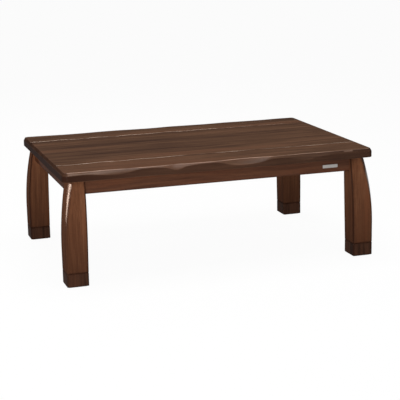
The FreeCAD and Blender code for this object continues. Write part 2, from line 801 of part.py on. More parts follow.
def reflector():
    """Bright sheet with a trough over each tube, turned up along the side walls."""
    sheet = REFLECTOR_SHEET
    low = REFLECTOR_LEVEL
    trough = REFLECTOR_DROP - sheet - TROUGH_GAP
    half_length = HOLDER_FACE - REFLECTOR_END_GAP
    start = -half_length

    def point(y, z):
        return Vector(start, y, z)

    def arc(centre, radius, toward):
        return Part.Arc(
            point(centre - toward * radius, low),
            point(centre, low + radius),
            point(centre + toward * radius, low),
        ).toShape()

    def line(first, second):
        return Part.makeLine(point(*first), point(*second))

    edge = HOUSING_INNER
    top = low + REFLECTOR_TURN_UP
    under = [
        line((-edge, top), (-edge, low)),
        line((-edge, low), (-TUBE_SPREAD - trough, low)),
        arc(-TUBE_SPREAD, trough, 1),
        line((-TUBE_SPREAD + trough, low), (TUBE_SPREAD - trough, low)),
        arc(TUBE_SPREAD, trough, 1),
        line((TUBE_SPREAD + trough, low), (edge, low)),
        line((edge, low), (edge, top)),
    ]
    face = low + sheet
    side = edge - sheet
    foot = math.sqrt((trough + sheet) ** 2 - sheet ** 2)

    def crest(centre):
        return Part.Arc(
            point(centre + foot, face),
            point(centre, low + trough + sheet),
            point(centre - foot, face),
        ).toShape()

    over = [
        line((edge, top), (side, top)),
        line((side, top), (side, face)),
        line((side, face), (TUBE_SPREAD + foot, face)),
        crest(TUBE_SPREAD),
        line((TUBE_SPREAD - foot, face), (-TUBE_SPREAD + foot, face)),
        crest(-TUBE_SPREAD),
        line((-TUBE_SPREAD - foot, face), (-side, face)),
        line((-side, face), (-side, top)),
        line((-side, top), (-edge, top)),
    ]
    outline = Part.Wire(under + over)
    body = Part.Face(outline).extrude(X_AXIS * (2 * half_length))
    motor_hole = rod(
        MOTOR_RADIUS + MOTOR_PASSING_GAP,
        Vector(0, 0, low - OVERRUN),
        Z_AXIS,
        OVERRUN + REFLECTOR_DROP,
    )
    return body.cut(motor_hole)


def tube_half_length():
    """Half the length of a heater tube, whose ends sit in the holders."""
    return HOLDER_FACE + TUBE_SEAT


def heater_tubes():
    """Two quartz tubes along the heater."""
    half = tube_half_length()
    tubes = []
    for side in (-1, 1):
        start = Vector(-half, side * TUBE_SPREAD, REFLECTOR_LEVEL)
        outer = rod(TUBE_RADIUS, start, X_AXIS, 2 * half)
        tubes.append(outer.cut(rod(TUBE_RADIUS - TUBE_WALL, start, X_AXIS, 2 * half)))
    return Part.makeCompound(tubes)


def heating_coils():
    """Wound element in each tube, as the round form it fills, with its end plugs."""
    half = tube_half_length() - COIL_END_INSET
    plug = TUBE_RADIUS - TUBE_WALL - FIT_CLEARANCE
    outline = [
        (0, -half),
        (plug, -half),
        (plug, -half + COIL_PLUG_LENGTH),
        (COIL_RADIUS, -half + COIL_PLUG_LENGTH),
        (COIL_RADIUS, half - COIL_PLUG_LENGTH),
        (plug, half - COIL_PLUG_LENGTH),
        (plug, half),
        (0, half),
    ]
    return Part.makeCompound([
        turned(outline, Vector(0, side * TUBE_SPREAD, REFLECTOR_LEVEL), X_AXIS) for side in (-1, 1)
    ])


def tube_holders():
    """Ceramic block at each end of each tube, against the housing's walls."""
    bore_depth = TUBE_SEAT + HOLE_END_GAP
    holder = block(
        Vector(HOLDER_FACE, TUBE_SPREAD - HOLDER_WIDTH / 2, REFLECTOR_LEVEL - HOLDER_HEIGHT / 2),
        Vector(HOUSING_INNER, TUBE_SPREAD + HOLDER_WIDTH / 2, REFLECTOR_LEVEL + HOLDER_HEIGHT / 2),
    )
    start = Vector(HOLDER_FACE - OVERRUN, TUBE_SPREAD, REFLECTOR_LEVEL)
    holder = holder.cut(rod(TUBE_RADIUS + FIT_CLEARANCE, start, X_AXIS, OVERRUN + bore_depth))
    beside = holder.copy()
    beside.translate(Vector(0, -TUBE_SPREAD - TUBE_SPREAD, 0))
    pair = Part.makeCompound([holder, beside])
    far_pair = turn_about_z(pair, 180)
    return Part.makeCompound(pair.Solids + far_pair.Solids)


def motor_strap():
    """Steel strap under the insulation that carries the fan motor."""
    return rounded_slab(
        STRAP_LENGTH / 2, STRAP_WIDTH / 2, STRAP_WIDTH / 4, MOTOR_TOP, INSULATION_BOTTOM
    )


def fan_motor():
    """Round motor with a nose, bored from below for its shaft."""
    outline = [
        (0, 0),
        (MOTOR_NOSE_RADIUS, 0),
        (MOTOR_NOSE_RADIUS, MOTOR_NOSE_HEIGHT),
        (MOTOR_RADIUS, MOTOR_NOSE_HEIGHT),
        (MOTOR_RADIUS, MOTOR_NOSE_HEIGHT + MOTOR_HEIGHT),
        (0, MOTOR_NOSE_HEIGHT + MOTOR_HEIGHT),
    ]
    body = turned(outline, Vector(0, 0, NOSE_BOTTOM), Z_AXIS)
    bore = rod(
        SHAFT_RADIUS + RUNNING_CLEARANCE,
        Vector(0, 0, NOSE_BOTTOM - OVERRUN),
        Z_AXIS,
        OVERRUN + SHAFT_IN_MOTOR + SHAFT_END_GAP,
    )
    return body.cut(bore)


def fan_shaft():
    """Shaft from inside the motor down into the hub of the fan."""
    length = SHAFT_IN_MOTOR + FAN_MOTOR_GAP + FAN_HUB_HEIGHT - FAN_HUB_CAP
    return rod(SHAFT_RADIUS, Vector(0, 0, FAN_BOTTOM + FAN_HUB_CAP), Z_AXIS, length)


def blade_section(radius, chord):
    """Leaning strip across one blade, at a distance from the axis."""
    middle = FAN_TOP - FAN_HUB_HEIGHT / 2
    half = chord / 2
    lean = half * FAN_BLADE_HEIGHT / FAN_BLADE_TIP_CHORD
    half_thickness = FAN_BLADE_THICKNESS / 2
    points = [
        Vector(radius, -half, middle - lean - half_thickness),
        Vector(radius, half, middle + lean - half_thickness),
        Vector(radius, half, middle + lean + half_thickness),
        Vector(radius, -half, middle - lean + half_thickness),
    ]
    return Part.makePolygon(points + [points[0]])


def fan_wheel():
    """Fan with a bored hub and leaning blades that widen outward."""
    hub = rod(FAN_HUB_RADIUS, Vector(0, 0, FAN_BOTTOM), Z_AXIS, FAN_HUB_HEIGHT)
    root = blade_section(FAN_HUB_RADIUS - FAN_BLADE_SINK - FAN_BLADE_THICKNESS, FAN_BLADE_ROOT_CHORD)
    tip = blade_section(FAN_RADIUS, FAN_BLADE_TIP_CHORD)
    blade = Part.makeLoft([root, tip], True, True)
    blades = [turn_about_z(blade, FULL_TURN * n / FAN_BLADES) for n in range(FAN_BLADES)]
    wheel = hub.fuse(blades)
    bore = rod(
        SHAFT_RADIUS + FIT_CLEARANCE,
        Vector(0, 0, FAN_BOTTOM + FAN_HUB_CAP),
        Z_AXIS,
        FAN_HUB_HEIGHT + OVERRUN,
    )
    return wheel.cut(bore)


def thermostat():
    """Round cut-out switch under the flat middle of the reflector."""
    outline = [
        (0, -THERMOSTAT_HEIGHT),
        (THERMOSTAT_RADIUS, -THERMOSTAT_HEIGHT),
        (THERMOSTAT_RADIUS, -THERMOSTAT_FLANGE_HEIGHT),
        (THERMOSTAT_FLANGE_RADIUS, -THERMOSTAT_FLANGE_HEIGHT),
        (THERMOSTAT_FLANGE_RADIUS, 0),
        (0, 0),
    ]
    return turned(outline, Vector(THERMOSTAT_X, 0, REFLECTOR_LEVEL), Z_AXIS)


def thermal_fuse():
    """One-shot fuse in a ceramic case beside the thermostat."""
    near = THERMOSTAT_FLANGE_RADIUS + FUSE_SIDE_GAP
    case = block(
        Vector(THERMOSTAT_X - FUSE_LENGTH / 2, near, REFLECTOR_LEVEL - FUSE_WIDTH),
        Vector(THERMOSTAT_X + FUSE_LENGTH / 2, near + FUSE_WIDTH, REFLECTOR_LEVEL),
    )
    ends = [edge for edge in case.Edges if is_upright(edge)]
    return case.makeFillet(FUSE_WIDTH / 3, ends)


def terminal_block():
    """Terminal block under the insulation, near the cord inlet."""
    bottom = INSULATION_BOTTOM - TERMINAL_HEIGHT
    body = block(
        Vector(-TERMINAL_X - TERMINAL_LENGTH / 2, -TERMINAL_WIDTH / 2, bottom),
        Vector(-TERMINAL_X + TERMINAL_LENGTH / 2, TERMINAL_WIDTH / 2, INSULATION_BOTTOM),
    )
    pitch = TERMINAL_WIDTH / TERMINAL_POLES
    for pole in range(TERMINAL_POLES):
        middle = -TERMINAL_WIDTH / 2 + pitch * (pole + 1 / 2)
        body = body.cut(block(
            Vector(-TERMINAL_X - TERMINAL_LENGTH, middle - TERMINAL_SLOT_WIDTH / 2, bottom - OVERRUN),
            Vector(-TERMINAL_X, middle + TERMINAL_SLOT_WIDTH / 2, bottom + TERMINAL_SLOT_DEPTH),
        ))
    return body


# Cord inlet

def inlet_level():
    """Height of the middle of the inlet, close under the flange."""
    lip_top = RAIL_BOTTOM - HOUSING_WALL - INLET_TOP_GAP
    return lip_top - INLET_LIP - INLET_HEIGHT / 2


def inlet_box(near, far, margin):
    """Box across the inlet's section, grown by a margin, between two places along X."""
    level = inlet_level()
    half_width = INLET_WIDTH / 2 + margin
    half_height = INLET_HEIGHT / 2 + margin
    return block(
        Vector(near, -half_width, level - half_height),
        Vector(far, half_width, level + half_height),
    )


def inlet_hole():
    """Opening in the left wall of the housing for the inlet."""
    return inlet_box(-HOUSING_HALF - OVERRUN, -HOUSING_INNER + OVERRUN, PASSING_CLEARANCE)


def cord_inlet():
    """Moulded socket with a lip that seats on the outside of the housing."""
    mouth = -HOUSING_HALF - INLET_PROUD
    body = inlet_box(mouth, mouth + INLET_DEPTH, 0)
    lip = inlet_box(-HOUSING_HALF - INLET_LIP_THICKNESS, -HOUSING_HALF, INLET_LIP)
    socket = inlet_box(mouth - OVERRUN, mouth + INLET_SOCKET_DEPTH, -INLET_WALL)
    radius = PIN_RADIUS + FIT_CLEARANCE
    holes = [pin(radius, start, X_AXIS, PIN_REACH + PIN_SEAT) for start in pin_spots()]
    return body.fuse(lip).cut([socket] + holes)


def pin_spots():
    """Free ends of the two contact pins."""
    floor = -HOUSING_HALF - INLET_PROUD + INLET_SOCKET_DEPTH
    return [Vector(floor - PIN_REACH, side * PIN_SPACING / 2, inlet_level()) for side in (-1, 1)]


def inlet_pins():
    """Two round contact pins standing in the socket."""
    return Part.makeCompound([
        pin(PIN_RADIUS, start, X_AXIS, PIN_REACH + PIN_SEAT) for start in pin_spots()
    ])


# Guard

def guard_slots():
    """Slots of the grille, in columns parted by ribs."""
    field = HOUSING_INNER - GUARD_FIELD_MARGIN
    column = (2 * field - SLOT_COLUMN_RIB * (SLOT_COLUMNS - 1)) / SLOT_COLUMNS
    rows = int(2 * field // SLOT_PITCH)
    first_row = -SLOT_PITCH * (rows - 1) / 2
    slots = []
    for n in range(SLOT_COLUMNS):
        left = -field + n * (column + SLOT_COLUMN_RIB)
        for row in range(rows):
            middle = first_row + row * SLOT_PITCH
            slots.append(block(
                Vector(left, middle - SLOT_WIDTH / 2, HOUSING_BOTTOM - GUARD_THICKNESS - OVERRUN),
                Vector(left + column, middle + SLOT_WIDTH / 2, HOUSING_BOTTOM + OVERRUN),
            ))
    return slots


def guard_grille():
    """Moulded guard with a rim around the foot of the housing."""
    inner = HOUSING_HALF + GUARD_SIDE_CLEARANCE
    outer = inner + GUARD_RIM
    body = rounded_slab(
        outer,
        outer,
        GUARD_CORNER_RADIUS,
        HOUSING_BOTTOM - GUARD_THICKNESS,
        HOUSING_BOTTOM + GUARD_RIM_HEIGHT,
    )
    room = rounded_slab(
        inner,
        inner,
        GUARD_CORNER_RADIUS - GUARD_RIM,
        HOUSING_BOTTOM,
        HOUSING_BOTTOM + GUARD_RIM_HEIGHT + OVERRUN,
    )
    return body.cut([room, guard_screw_holes()] + guard_slots())


def guard_screw_spots():
    """Places of the four screws under the guard."""
    level = HOUSING_BOTTOM - GUARD_THICKNESS
    return [
        Vector(side_x * BOSS_PLACE, side_y * BOSS_PLACE, level)
        for side_x in (-1, 1)
        for side_y in (-1, 1)
    ]


def guard_screws():
    """Screws up through the guard into the corner bosses of the housing."""
    return Part.makeCompound([
        screw(
            GUARD_SCREW_RADIUS,
            GUARD_SCREW_LENGTH,
            GUARD_SCREW_HEAD_RADIUS,
            GUARD_SCREW_HEAD_HEIGHT,
            spot,
            Z_AXIS,
        )
        for spot in guard_screw_spots()
    ])


def guard_screw_holes():
    """Holes through the guard and up into the bosses."""
    radius = GUARD_SCREW_RADIUS + FIT_CLEARANCE
    length = GUARD_SCREW_LENGTH + HOLE_END_GAP
    return Part.makeCompound([pin(radius, spot, Z_AXIS, length) for spot in guard_screw_spots()])


# Board

def bevel_section(drop, inset):
    """Waste triangle over one place of an edge, as (inward, level) pairs from its line."""
    over = CUTTER_OVERHANG_SHARE
    outside = -inset * over
    above = TABLE_HEIGHT + drop * over
    return (
        (outside, TABLE_HEIGHT - drop * (1 + over)),
        (inset * (1 + over), above),
        (outside, above),
    )


def bevel_wire(x, edge_line, drop, inset):
    """Closed waste outline across the front edge at one place along X."""
    points = [
        Vector(x, -edge_line + inward, level) for inward, level in bevel_section(drop, inset)
    ]
    return Part.makePolygon(points + [points[0]])


def carved_waste(carving_shares):
    """Waste along the front edge: a bevel that swells and narrows as it runs along."""
    edge_line = BOARD_DEPTH / 2
    run = BOARD_LENGTH / 2 - BOARD_CORNER_RADIUS
    wires = [bevel_wire(-run, edge_line, END_BEVEL_DROP, END_BEVEL_INSET)]
    for place, drop, inset in carving_shares:
        wires.append(bevel_wire(run * place, edge_line, CARVE_DROP * drop, CARVE_INSET * inset))
    wires.append(bevel_wire(run, edge_line, END_BEVEL_DROP, END_BEVEL_INSET))
    return Part.makeLoft(wires, True, False)


def end_waste():
    """Waste along the right short end: an even bevel."""
    run = BOARD_DEPTH / 2 - BOARD_CORNER_RADIUS
    wire = bevel_wire(-run, BOARD_LENGTH / 2, END_BEVEL_DROP, END_BEVEL_INSET)
    return turn_about_z(Part.Face(wire).extrude(X_AXIS * (2 * run)), 90)


def corner_waste():
    """Waste round the front right corner: the end bevel, swept about the corner's centre."""
    reach = BOARD_LENGTH / 2 - BOARD_CORNER_RADIUS
    across = BOARD_DEPTH / 2 - BOARD_CORNER_RADIUS
    wire = bevel_wire(reach, BOARD_DEPTH / 2, END_BEVEL_DROP, END_BEVEL_INSET)
    return Part.Face(wire).revolve(Vector(reach, -across, 0), Z_AXIS, 90)


def mirrored_lengthwise(shape):
    """Mirror image of a shape across the plane between left and right."""
    return shape.mirror(ORIGIN, X_AXIS)


def board_blank():
    """Whole board with its rounded corners, bevels and carved long edges."""
    slab = rounded_slab(
        BOARD_LENGTH / 2, BOARD_DEPTH / 2, BOARD_CORNER_RADIUS, BOARD_BOTTOM, TABLE_HEIGHT
    )
    slab = slab.makeChamfer(BOARD_UNDER_ARRIS, edges_at_level(slab, BOARD_BOTTOM))
    corner = corner_waste()
    waste = [
        carved_waste(FRONT_CARVING_SHARES),
        turn_about_z(carved_waste(REAR_CARVING_SHARES), 180),
        end_waste(),
        turn_about_z(end_waste(), 180),
        corner,
        turn_about_z(corner, 180),
        mirrored_lengthwise(corner),
        turn_about_z(mirrored_lengthwise(corner), 180),
    ]
    for cutter in waste:
        slab = slab.cut(cutter)
    for line in joint_lines():
        slab = slab.cut(joint_groove(line))
    return slab


def joint_lines():
    """Places along Y of the front and rear joints between planks."""
    return (-BOARD_DEPTH / 2 + FRONT_PLANK_WIDTH, BOARD_DEPTH / 2 - REAR_PLANK_WIDTH)


def joint_groove(line):
    """V groove along the top of a joint."""
    reach = BOARD_LENGTH / 2 + OVERRUN
    widening = 1 + OVERRUN / JOINT_GROOVE_DEPTH
    half = JOINT_GROOVE_HALF_WIDTH * widening
    points = [
        Vector(-reach, line, TABLE_HEIGHT - JOINT_GROOVE_DEPTH),
        Vector(-reach, line + half, TABLE_HEIGHT + OVERRUN),
        Vector(-reach, line - half, TABLE_HEIGHT + OVERRUN),
    ]
    return prism(points, X_AXIS * (2 * reach))


def tongue_body(line, clearance):
    """Loose tongue across a joint, grown by a clearance for the groove it sits in."""
    reach = BOARD_LENGTH / 2 - TONGUE_STOP + clearance
    half = TONGUE_WIDTH / 2 + clearance
    low = BOARD_BOTTOM + TONGUE_RISE
    return block(
        Vector(-reach, line - half, low - clearance),
        Vector(reach, line + half, low + TONGUE_THICKNESS + clearance),
    )


def channel_span():
    """Front and rear ends of the flattening channels."""
    front, rear = joint_lines()
    return front - CHANNEL_HOLD, rear + CHANNEL_HOLD


def channel_pocket(x):
    """Pocket in the underside of the board for one channel."""
    front, rear = channel_span()
    half = CHANNEL_WIDTH / 2 + CHANNEL_SIDE_CLEARANCE
    ceiling = BOARD_BOTTOM + CHANNEL_RECESS + CHANNEL_HEIGHT
    return block(
        Vector(x - half, front - CHANNEL_SIDE_CLEARANCE, BOARD_BOTTOM - OVERRUN),
        Vector(x + half, rear + CHANNEL_SIDE_CLEARANCE, ceiling),
    )


def warp_channel(x):
    """Steel channel, open upward, let into the underside of the board."""
    front, rear = channel_span()
    half = CHANNEL_WIDTH / 2
    low = BOARD_BOTTOM + CHANNEL_RECESS
    body = block(Vector(x - half, front, low), Vector(x + half, rear, low + CHANNEL_HEIGHT))
    inside = block(
        Vector(x - half + CHANNEL_WALL, front - OVERRUN, low + CHANNEL_WALL),
        Vector(x + half - CHANNEL_WALL, rear + OVERRUN, low + CHANNEL_HEIGHT + OVERRUN),
    )
    return body.cut([inside, channel_screw_holes()])


def channel_screw_spots():
    """Places of the screws under both channels, one in each plank."""
    front, rear = channel_span()
    level = BOARD_BOTTOM + CHANNEL_RECESS
    places = (front + CHANNEL_SCREW_END, (front + rear) / 2, rear - CHANNEL_SCREW_END)
    return [Vector(x, y, level) for x in (-CHANNEL_SPREAD, CHANNEL_SPREAD) for y in places]


def channel_screws():
    """Screws that hold the channels to the planks."""
    return Part.makeCompound([
        screw(
            CHANNEL_SCREW_RADIUS,
            CHANNEL_SCREW_LENGTH,
            CHANNEL_SCREW_HEAD_RADIUS,
            CHANNEL_SCREW_HEAD_HEIGHT,
            spot,
            Z_AXIS,
        )
        for spot in channel_screw_spots()
    ])


def channel_screw_holes():
    """Holes through the channels and up into the planks."""
    radius = CHANNEL_SCREW_RADIUS + FIT_CLEARANCE
    length = CHANNEL_SCREW_LENGTH + HOLE_END_GAP
    return Part.makeCompound([pin(radius, spot, Z_AXIS, length) for spot in channel_screw_spots()])


def planks():
    """Front plank, centre panel and rear plank, cut from one carved blank."""
    blank = board_blank()
    front, rear = joint_lines()
    grooves = [tongue_body(line, TONGUE_CLEARANCE) for line in (front, rear)]
    pockets = [channel_pocket(x) for x in (-CHANNEL_SPREAD, CHANNEL_SPREAD)]
    blank = blank.cut(grooves + pockets + [channel_screw_holes()])
    reach_x = BOARD_LENGTH / 2 + OVERRUN
    reach_y = BOARD_DEPTH / 2 + OVERRUN
    lines = (-reach_y, front, rear, reach_y)
    pieces = []
    for near, far in zip(lines[:-1], lines[1:]):
        zone = block(
            Vector(-reach_x, near, BOARD_BOTTOM - OVERRUN),
            Vector(reach_x, far, TABLE_HEIGHT + OVERRUN),
        )
        pieces.append(blank.common(zone))
    return pieces


def all_nodes():
    """Every piece of the table, by name."""
    nodes = {}
    front_plank, centre_panel, rear_plank = planks()
    nodes["board_front_plank"] = front_plank
    nodes["board_centre_panel"] = centre_panel
    nodes["board_rear_plank"] = rear_plank
    front, rear = joint_lines()
    nodes["board_front_tongue"] = tongue_body(front, 0)
    nodes["board_rear_tongue"] = tongue_body(rear, 0)
    nodes["warp_channel_left"] = warp_channel(-CHANNEL_SPREAD)
    nodes["warp_channel_right"] = warp_channel(CHANNEL_SPREAD)
    nodes["warp_channel_screws"] = channel_screws()

    for corner in CORNERS:
        name = corner[0]
        nodes["leg_" + name] = at_corner(leg(), corner)
        nodes["foot_block_" + name] = at_corner(foot_block(), corner)
        nodes["foot_peg_" + name] = at_corner(foot_peg(), corner)
        nodes["foot_glide_" + name] = at_corner(foot_glide(), corner)
    nodes["leg_bushes"] = at_all_corners(bush())

    nodes["apron_front"] = apron(LEG_X, LEG_Y, 0)
    nodes["apron_right"] = apron(LEG_Y, LEG_X, 90)
    nodes["apron_rear"] = apron(LEG_X, LEG_Y, 180)
    nodes["apron_left"] = apron(LEG_Y, LEG_X, 270)
    nodes["corner_brackets"] = at_all_corners(corner_bracket())
    nodes["bracket_screws"] = at_all_corners(bracket_screws())
    nodes["leg_bolts"] = at_all_corners(leg_bolt())
    nodes["leg_bolt_washers"] = at_all_corners(leg_bolt_washer())
    nodes["leg_bolt_nuts"] = at_all_corners(leg_bolt_nut())
    nodes["board_pads"] = board_pads()

    nodes["support_rail_left"] = cross_rail(-SUPPORT_RAIL_X)
    nodes["support_rail_right"] = cross_rail(SUPPORT_RAIL_X)
    nodes["heater_rail_left"] = cross_rail(-HEATER_RAIL_X)
    nodes["heater_rail_right"] = cross_rail(HEATER_RAIL_X)
    nodes["heater_rail_front"] = short_rail(-HEATER_RAIL_X)
    nodes["heater_rail_rear"] = short_rail(HEATER_RAIL_X)
    nodes["rail_dowels"] = rail_dowels()

    nodes["heater_housing"] = heater_housing()
    nodes["heater_flange_screws"] = flange_screws()
    nodes["heater_insulation"] = insulation_sheet()
    nodes["heater_reflector"] = reflector()
    nodes["heater_tubes"] = heater_tubes()
    nodes["heating_coils"] = heating_coils()
    nodes["tube_holders"] = tube_holders()
    nodes["motor_strap"] = motor_strap()
    nodes["fan_motor"] = fan_motor()
    nodes["fan_shaft"] = fan_shaft()
    nodes["fan_wheel"] = fan_wheel()
    nodes["thermostat"] = thermostat()
    nodes["thermal_fuse"] = thermal_fuse()
    nodes["terminal_block"] = terminal_block()
    nodes["cord_inlet"] = cord_inlet()
    nodes["inlet_pins"] = inlet_pins()
    nodes["guard_grille"] = guard_grille()
    nodes["guard_screws"] = guard_screws()
    return nodes


def main():
    """Build every node and write one file for each."""
    os.makedirs("parts", exist_ok=True)
    for name, shape in all_nodes().items():
        shape.exportStep("parts/" + name + ".step")
        print(name, len(shape.Solids), round(shape.Volume), shape.isValid())


main()
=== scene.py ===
"""Looks of a low heated table: carved board, joined underframe, fan heater and extension feet.

Sizes are in millimetres and become metres where a mesh is made. X runs along the table,
the front is toward -Y, and Z is up.
"""

import logging
import math
from dataclasses import dataclass, field
from enum import Enum
from functools import partial
from typing import Any, Callable, Sequence

import bmesh
import bpy
import numpy as np
from bmesh.types import BMEdge, BMesh
from bpy.types import Material, Mesh, Node, NodeSocket, NodeTree, Object
from mathutils import Matrix, Vector


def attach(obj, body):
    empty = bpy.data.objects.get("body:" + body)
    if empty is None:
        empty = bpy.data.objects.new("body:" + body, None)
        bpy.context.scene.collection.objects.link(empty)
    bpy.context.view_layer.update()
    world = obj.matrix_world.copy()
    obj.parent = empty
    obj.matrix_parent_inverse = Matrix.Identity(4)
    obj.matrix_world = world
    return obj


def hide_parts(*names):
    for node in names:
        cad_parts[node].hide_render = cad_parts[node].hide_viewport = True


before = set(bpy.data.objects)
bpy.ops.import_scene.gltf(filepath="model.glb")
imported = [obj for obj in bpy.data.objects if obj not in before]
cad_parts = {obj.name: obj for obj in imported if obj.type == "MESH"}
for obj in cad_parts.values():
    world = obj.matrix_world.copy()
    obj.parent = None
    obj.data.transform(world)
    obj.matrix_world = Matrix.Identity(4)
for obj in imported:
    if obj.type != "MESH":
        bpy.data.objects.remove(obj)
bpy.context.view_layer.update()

LOG = logging.getLogger("kotatsu")
MM = 0.001
NEAR = 0.01
MERGE = 0.001 * MM
SQRT2 = math.sqrt(2)
SMOOTH = "SMOOTHSTEP"

Pair = tuple[float, float]
Point = tuple[float, float, float]
Shape = tuple[list[Point], list[tuple[int, ...]]]
Adder = Callable[..., Node]
Materials = dict[str, Material]


class Grain(Enum):
    """Way that the grain of a timber runs, as the turn that brings it to X."""

    ALONG_X = (0.0, 0.0, 0.0)
    ALONG_Y = (0.0, 0.0, -math.pi / 2)
    ALONG_Z = (0.0, math.pi / 2, 0.0)


class Corner(Enum):
    """Corner of the table: side along X, side along Y, and turn of a rear right piece."""

    rear_right = (1, 1, 0)
    rear_left = (-1, 1, 90)
    front_left = (-1, -1, 180)
    front_right = (1, -1, 270)


def linear(colour: str) -> tuple[float, float, float, float]:
    """Turn an sRGB hex colour to linear light.

    Args:
        colour: Colour such as "#6b4734".

    Returns:
        Red, green, blue and an alpha of one.
    """
    shares = [int(colour[n:n + 2], 16) / 255 for n in (1, 3, 5)]
    light = [s / 12.92 if s <= 0.04045 else ((s + 0.055) / 1.055) ** 2.4 for s in shares]
    return (light[0], light[1], light[2], 1.0)


def add_node(tree: NodeTree, kind: str, links: dict[Any, Any] | None = None, **settings: Any) -> Node:
    """Add one node to a tree, with its settings and its inputs.

    Args:
        tree: Node tree of a material, world or modifier.
        kind: Blender's type name of the node. A shader node's own start may be left out.
        links: Value, socket or node for each input, by name or number. A node gives the
            first output that it has in use.
        settings: Properties of the node.

    Returns:
        The new node.
    """
    node = tree.nodes.new(kind if "Node" in kind else "ShaderNode" + kind)
    for name, value in settings.items():
        setattr(node, name, value)
    for name, value in (links or {}).items():
        if isinstance(value, Node):
            value = next(socket for socket in value.outputs if socket.enabled)
        if isinstance(value, NodeSocket):
            tree.links.new(value, node.inputs[name])
        else:
            node.inputs[name].default_value = value
    return node


def set_ramp(node: Node, stops: Sequence[tuple[float, Any]]) -> None:
    """Give a colour ramp its stops.

    Args:
        node: Color Ramp node.
        stops: Place and linear colour of each stop, in order.
    """
    ramp = node.color_ramp.elements
    while len(ramp) < len(stops):
        ramp.new(0.5)
    for element, (place, colour) in zip(ramp, stops):
        element.position = place
        element.color = colour


def bare_material(name: str) -> Material:
    """Start a material with no nodes.

    Args:
        name: Name of the finish.

    Returns:
        The material.
    """
    material = bpy.data.materials.new(name)
    material.use_nodes = True
    material.node_tree.nodes.clear()
    return material


# Finishes


